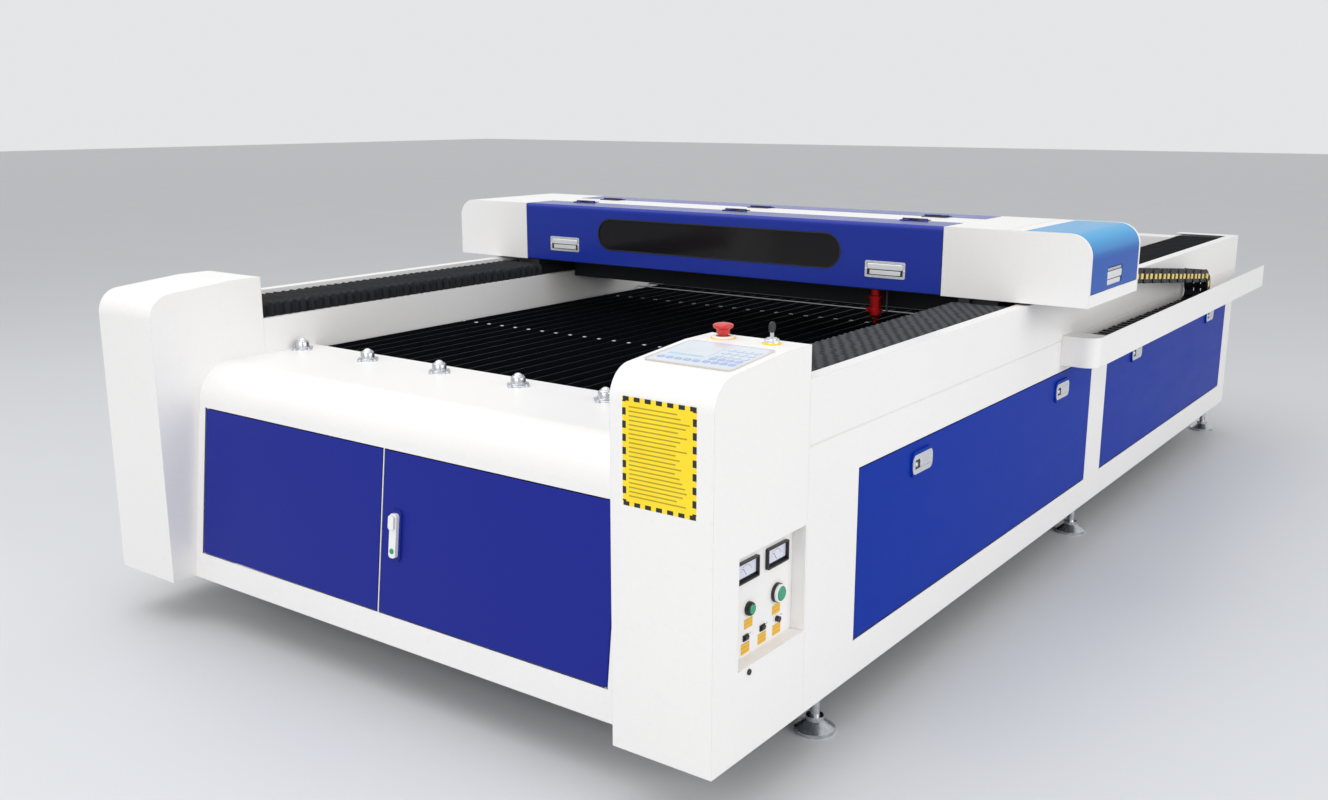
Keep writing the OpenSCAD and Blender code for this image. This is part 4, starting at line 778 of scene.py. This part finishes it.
# ---------------------------------------------------------------- energy chain
# Moulded black links carry the tube's hoses and the cables from the tray to the gantry.
# Pairs of side plates are joined by bars, whose yellow ends snap through the plates.
link_plastic = Finish("chain_black", colour(22, 23, 27), 0.45, Specular_IOR_Level=0.2)
link_plastic.set(Roughness=0.34 + 0.2 * link_plastic.noise(0.006, 3))
link_plastic.clouded(0.03, 3, colour(20, 21, 25), colour(31, 32, 37))
bar_plastic = Finish("chain_yellow", colour(236, 206, 96), 0.4)
bar_plastic.set(Roughness=0.34 + 0.2 * bar_plastic.noise(0.006, 3))
bar_plastic.clouded(0.02, 3, colour(240, 212, 104), colour(216, 184, 74))
link_pitch, link_tall, link_wide = 0.049, 0.044, 0.080
hose_radius, hose_apart = 0.0108, 0.0235
chain_x = 1.020
bend_y, bend_z, bend_radius, bend_links = 1.0455, 0.7005, 0.056, 4
bend_start_y = 1.0275
chain_top, chain_foot = (-0.0335, 0.866), (-0.0975, 0.6570)


def stadium(length, height, steps=8):
    """A slot's outline, with round ends."""
    out = []
    for side, start in ((1, 90), (-1, 270)):
        for i in range(steps + 1):
            a = math.radians(start - 180 * i / steps)
            out.append((side * (length - height) / 2 + height / 2 * math.cos(a), height / 2 * math.sin(a)))
    return out


def add_link(plates, bars, y, z, tilt, number):
    """One link about its middle, with a piece of each hose; odd links sit inside even ones."""
    odd = number % 2
    width = link_wide - (0.0066 if odd else 0)
    spot = shifted(chain_x, y, z) @ Matrix.Rotation(tilt, 4, "X")
    for side in (-1, 1):
        face = spot @ shifted(side * (width / 2 - 0.0015), 0, 0) @ turned(90, "Z") @ turned(90, "X")
        plates.slab(stadium(link_pitch + 0.020, link_tall * 0.94), -0.0014, 0.0014, face)
        plates.spin([(0.0062, -0.0022), (0.0062, 0.0022), (0.0050, 0.0026), (0, 0.0026)],
                    face @ shifted(-link_pitch / 2, 0, 0), 16)
        plates.block((-0.008, -link_tall / 2, -0.0019), (0.008, link_tall / 2, 0.0019), face, 0.001)
    half, top, bar_thick = width / 2 - 0.002, link_tall / 2, 0.0028
    plates.block((-half, -0.0085, -top), (half, 0.0085, -top + bar_thick), spot, 0.001)
    plates.block((-half, -0.0085, top - bar_thick), (half, 0.0085, top), spot, 0.001)
    for x in (-hose_apart, 0.0, hose_apart):
        plates.spin([(hose_radius, -0.54 * link_pitch), (hose_radius, 0.54 * link_pitch)],
                    spot @ shifted(x, 0, 0) @ turned(90, "X"), 10)
    for side in (-1, 1):
        low, high = sorted((side * (width / 2 - 0.0030), side * (width / 2 + (0.0036 if odd else 0.0006))))
        bars.block((low, -0.0115, -0.0085), (high, 0.0115, 0.0085), spot, 0.001)


def chain_run(name, low, high, weight_low, weight_high, parts, first, node):
    """A straight run of links between two points (y, z), in parts."""
    (y0, z0), (y1, z1) = low, high
    each = max(1, round(math.hypot(y1 - y0, z1 - z0) / link_pitch / parts))
    tilt = math.atan2(z1 - z0, y1 - y0) + math.pi
    for part in range(parts):
        plates, bars = Form(), Form()
        for number in range(part * each, (part + 1) * each):
            share = (number + 0.5) / (each * parts)
            add_link(plates, bars, between(y0, y1, share), between(z0, z1, share), tilt, number + first)
        a, b = part / parts, (part + 1) / parts
        made = [plates.done(f"{name}_plates_{part}", link_plastic, "gantry", "chain_plastic", ride=False),
                bars.done(f"{name}_bars_{part}", bar_plastic, "gantry", "chain_plastic", ride=False)]
        for piece in made:
            bend_evenly(piece, between(y0, y1, a), between(y0, y1, b),
                        between(weight_low, weight_high, a), between(weight_low, weight_high, b))
        if part == 0:
            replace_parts(made[0], node)


chain_run("chain_upper", (bend_start_y, bend_z + bend_radius), chain_top, 0.5, 1.0, 3, 0, "chain_upper")
chain_run("chain_lower", chain_foot, (bend_start_y, bend_z - bend_radius), 0.0, 0.5, 3, 1, "chain_lower")
plates, bars = Form(), Form()
for number in range(bend_links):
    a = math.radians(-90 + (number + 0.5) * 180 / bend_links)
    add_link(plates, bars, bend_y + bend_radius * math.cos(a), bend_z + bend_radius * math.sin(a),
             a + 1.5 * math.pi, number)
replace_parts(plates.done("chain_bend_plates", link_plastic, "chain_bend", "chain_plastic"), "chain_bend")
bars.done("chain_bend_bars", bar_plastic, "chain_bend", "chain_plastic")
bracket = Form()
bracket.block((chain_x - 0.040, -0.0535, 0.844), (chain_x + 0.040, -0.0475, 0.888), ease=0.001)
bracket.done("chain_gantry_bracket", zinc, "gantry", "zinc")
anchor = Form()
anchor.block((chain_x - 0.034, -0.1235, 0.6225), (chain_x + 0.034, -0.0975, 0.6655), ease=0.002)
anchor.done("chain_tray_anchor", zinc, "base", "zinc")

# ---------------------------------------------------------------- gantry covers
# Two long blue covers hinge on a fixed white strip, and a light blue one closes the right end.
# They are folded from sheet and powder coated; the front one has a dark acrylic window in a black gasket.
cover_paint = powder_coat("cover_blue", (0.010, 0.030, 0.320), 0.22, 0.25, 0.3)
dress(cover_paint, "front_cover", "rear_cover")
light_paint = powder_coat("light_blue", (0.006, 0.140, 0.540), 0.24, 0.12, 0.2)
end_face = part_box("end_access_cover")[1][0]
blue_wide = 0.184
# Painted reflection: the end's blue is painted lighter towards and on its top face than down its side.
painted_top_light = light_paint.ramp((light_paint.axis("Z") - 0.955) * 18, (0.0, 0.0), (1.0, 1.0))
blues = light_paint.mix(painted_top_light, (0.010, 0.085, 0.400), (0.040, 0.330, 0.640))
light_paint.set(Base_Color=light_paint.mix(light_paint.axis("X") < end_face - blue_wide, blues, white))
dress(light_paint, "end_access_cover")
acrylic = Finish("dark_acrylic", colour(26, 24, 26), 0.08, Specular_IOR_Level=0.2)
acrylic.clouded(0.25, 2, colour(28, 25, 26), colour(20, 20, 23))
acrylic.set(Roughness=0.06 + 0.08 * acrylic.noise(0.05, 4))
dress(acrylic, "cover_window")
hinge_black = powder_coat("hinge_black", colour(24, 24, 26), 0.45, 0.3)
dress(hinge_black, "cover_hinges")
beam_paint = powder_coat("beam_dark", colour(26, 27, 31), 0.55, 0.15, 0.3)
dress(beam_paint, "gantry_beam")

hinge_low, hinge_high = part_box("cover_hinges")
spine_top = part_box("gantry_spine")[1][2]
hinge_half, knuckle_radius, knuckle_half = 0.039, 0.0047, 0.0124
leaf_near, leaf_far = 0.0010, 0.0226
knuckle_z = hinge_high[2] - 0.0048
for body, y, turn in (("front_cover", hinge_low[1] + 0.0045, -1), ("rear_cover", hinge_high[1] - 0.0045, 1)):
    leaves = Form()
    near_y, far_y = sorted((y + turn * leaf_near, y + turn * leaf_far))
    for x in (hinge_low[0] + hinge_half, (hinge_low[0] + hinge_high[0]) / 2, hinge_high[0] - hinge_half):
        for low, high in ((-0.0384, -0.0134), (0.0134, 0.0384)):
            leaves.block((x + low, near_y, spine_top + 0.0001), (x + high, far_y, spine_top + 0.0026),
                         ease=0.0008)
            leaves.spin([(knuckle_radius, -knuckle_half), (knuckle_radius, knuckle_half)],
                        stand(x + (low + high) / 2, y, knuckle_z, sideways, level_up), 24)
    leaves.done(f"{body}_hinge_leaves", hinge_black, body, "black_paint")
cover_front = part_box("front_cover")[0][1]
window_mid = middle(*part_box("cover_window"))
gasket = Form()
gasket.frame_round(stadium(0.906, 0.105, 20), stadium(0.898, 0.097, 20), -0.001, 0.0019,
                   stand(window_mid.x, cover_front + 0.0012, window_mid.z, forwards, level_up))
gasket.done("window_gasket", black_plastic, "front_cover", "black_plastic")

# ---------------------------------------------------------------- flush pulls
# Bright flanged cups let into the covers, held by a screw at each end of the flange.
# A satin bar lies across the upper half of each, with a thinner and narrower one below it.
satin = Finish("satin_bar", colour(236, 236, 238), 0.35, Metallic=0.55)
satin.set(Roughness=0.28 + 0.16 * satin.noise(0.006, 3, (0.1, 1, 1)))


def flush_pull(name, spot, body, wide=0.126, tall=0.048):
    """One pull; the spot is the middle of its face."""
    flange, bar, hollow = Form(), Form(), Form()
    framed(flange, wide, tall, 0.005, 0.0070, -0.0004, 0.0018, spot)
    flange.done(f"{name}_flange", chrome, body, "chrome")
    # The dark sheet inside the bright cup is painted shade.
    hollow.slab(rounded(wide - 0.0138, tall - 0.0138, 0.002), -0.0009, 0.0003, spot)
    hollow.done(f"{name}_cup", shade_and_print_dark, body, "black_plastic")
    bar.slab(rounded(wide - 0.0160, tall * 0.34, 0.003), 0.0002, 0.0036, spot @ shifted(0, tall * 0.165, 0),
             ease=0.0014)
    bar.slab(rounded(wide - 0.0300, tall * 0.27, 0.002), 0.0002, 0.0024, spot @ shifted(0, -tall * 0.185, 0),
             ease=0.0010)
    for side in (-1, 1):
        bar.spin([(0.0024, 0.0010), (0.0024, 0.0026), (0.0016, 0.0032), (0, 0.0033)],
                 spot @ shifted(side * (wide / 2 - 0.0036), 0, 0), 16)
    bar.done(f"{name}_grip", satin, body, "chrome")


pull_z, pull_depth = 0.893, 0.0038
cover_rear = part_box("rear_cover")[1][1]
for number, x in enumerate((-0.643, 0.549)):
    flush_pull(f"front_pull_{number}", stand(x, cover_front, pull_z, forwards, level_up), "front_cover")
    flush_pull(f"rear_pull_{number}", stand(x, cover_rear, pull_z, backwards, level_up), "rear_cover")
flush_pull("end_pull", stand(end_face - pull_depth, -0.2725, 0.894, sideways, level_up), "end_cover",
           wide=0.138, tall=0.058)

# ---------------------------------------------------------------- laser tube and mirrors
# A sealed glass tube lies in two black cradles behind the beam.
# Mirrors in brass cells turn the light along the beam to the head.
glass = Finish("tube_glass", (0.93, 0.96, 0.96), 0.03, Transmission_Weight=0.92, IOR=1.12)
glass.set(Roughness=0.02 + 0.03 * glass.noise(0.05, 2))
brass = Finish("brass", colour(202, 168, 96), 0.24, Metallic=1.0)
brass.set(Roughness=0.18 + 0.18 * brass.noise(0.01, 4))
brass.clouded(0.02, 3, colour(208, 174, 100), colour(176, 140, 74))
dress(glass, "laser_tube")
dress(brass, "beam_mirrors")

# ---------------------------------------------------------------- laser head
# A red anodised aluminium barrel slides in its clamp to set the focus.
# A turned brass nozzle screws into its foot.
red_metal = Finish("red_anodised", colour(196, 22, 24), 0.26, Metallic=0.75)
red_metal.clouded(0.02, 3, colour(206, 26, 26), colour(168, 14, 18))
red_metal.set(Roughness=0.20 + 0.16 * red_metal.noise(0.006, 3))
dress(red_metal, "laser_head")
head_low, head_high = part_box("laser_head")
barrel_y = -0.4205
nozzle = Form()
nozzle.spin([(0.0022, 0.0), (0.0052, -0.0004), (0.0064, 0.006), (0.0100, 0.0165), (0.0100, 0.018),
             (0.0022, 0.018)],
            shifted((head_low[0] + head_high[0]) / 2, barrel_y, head_low[2]), 32, caps=False)
nozzle.done("head_nozzle", brass, "head", "brass")
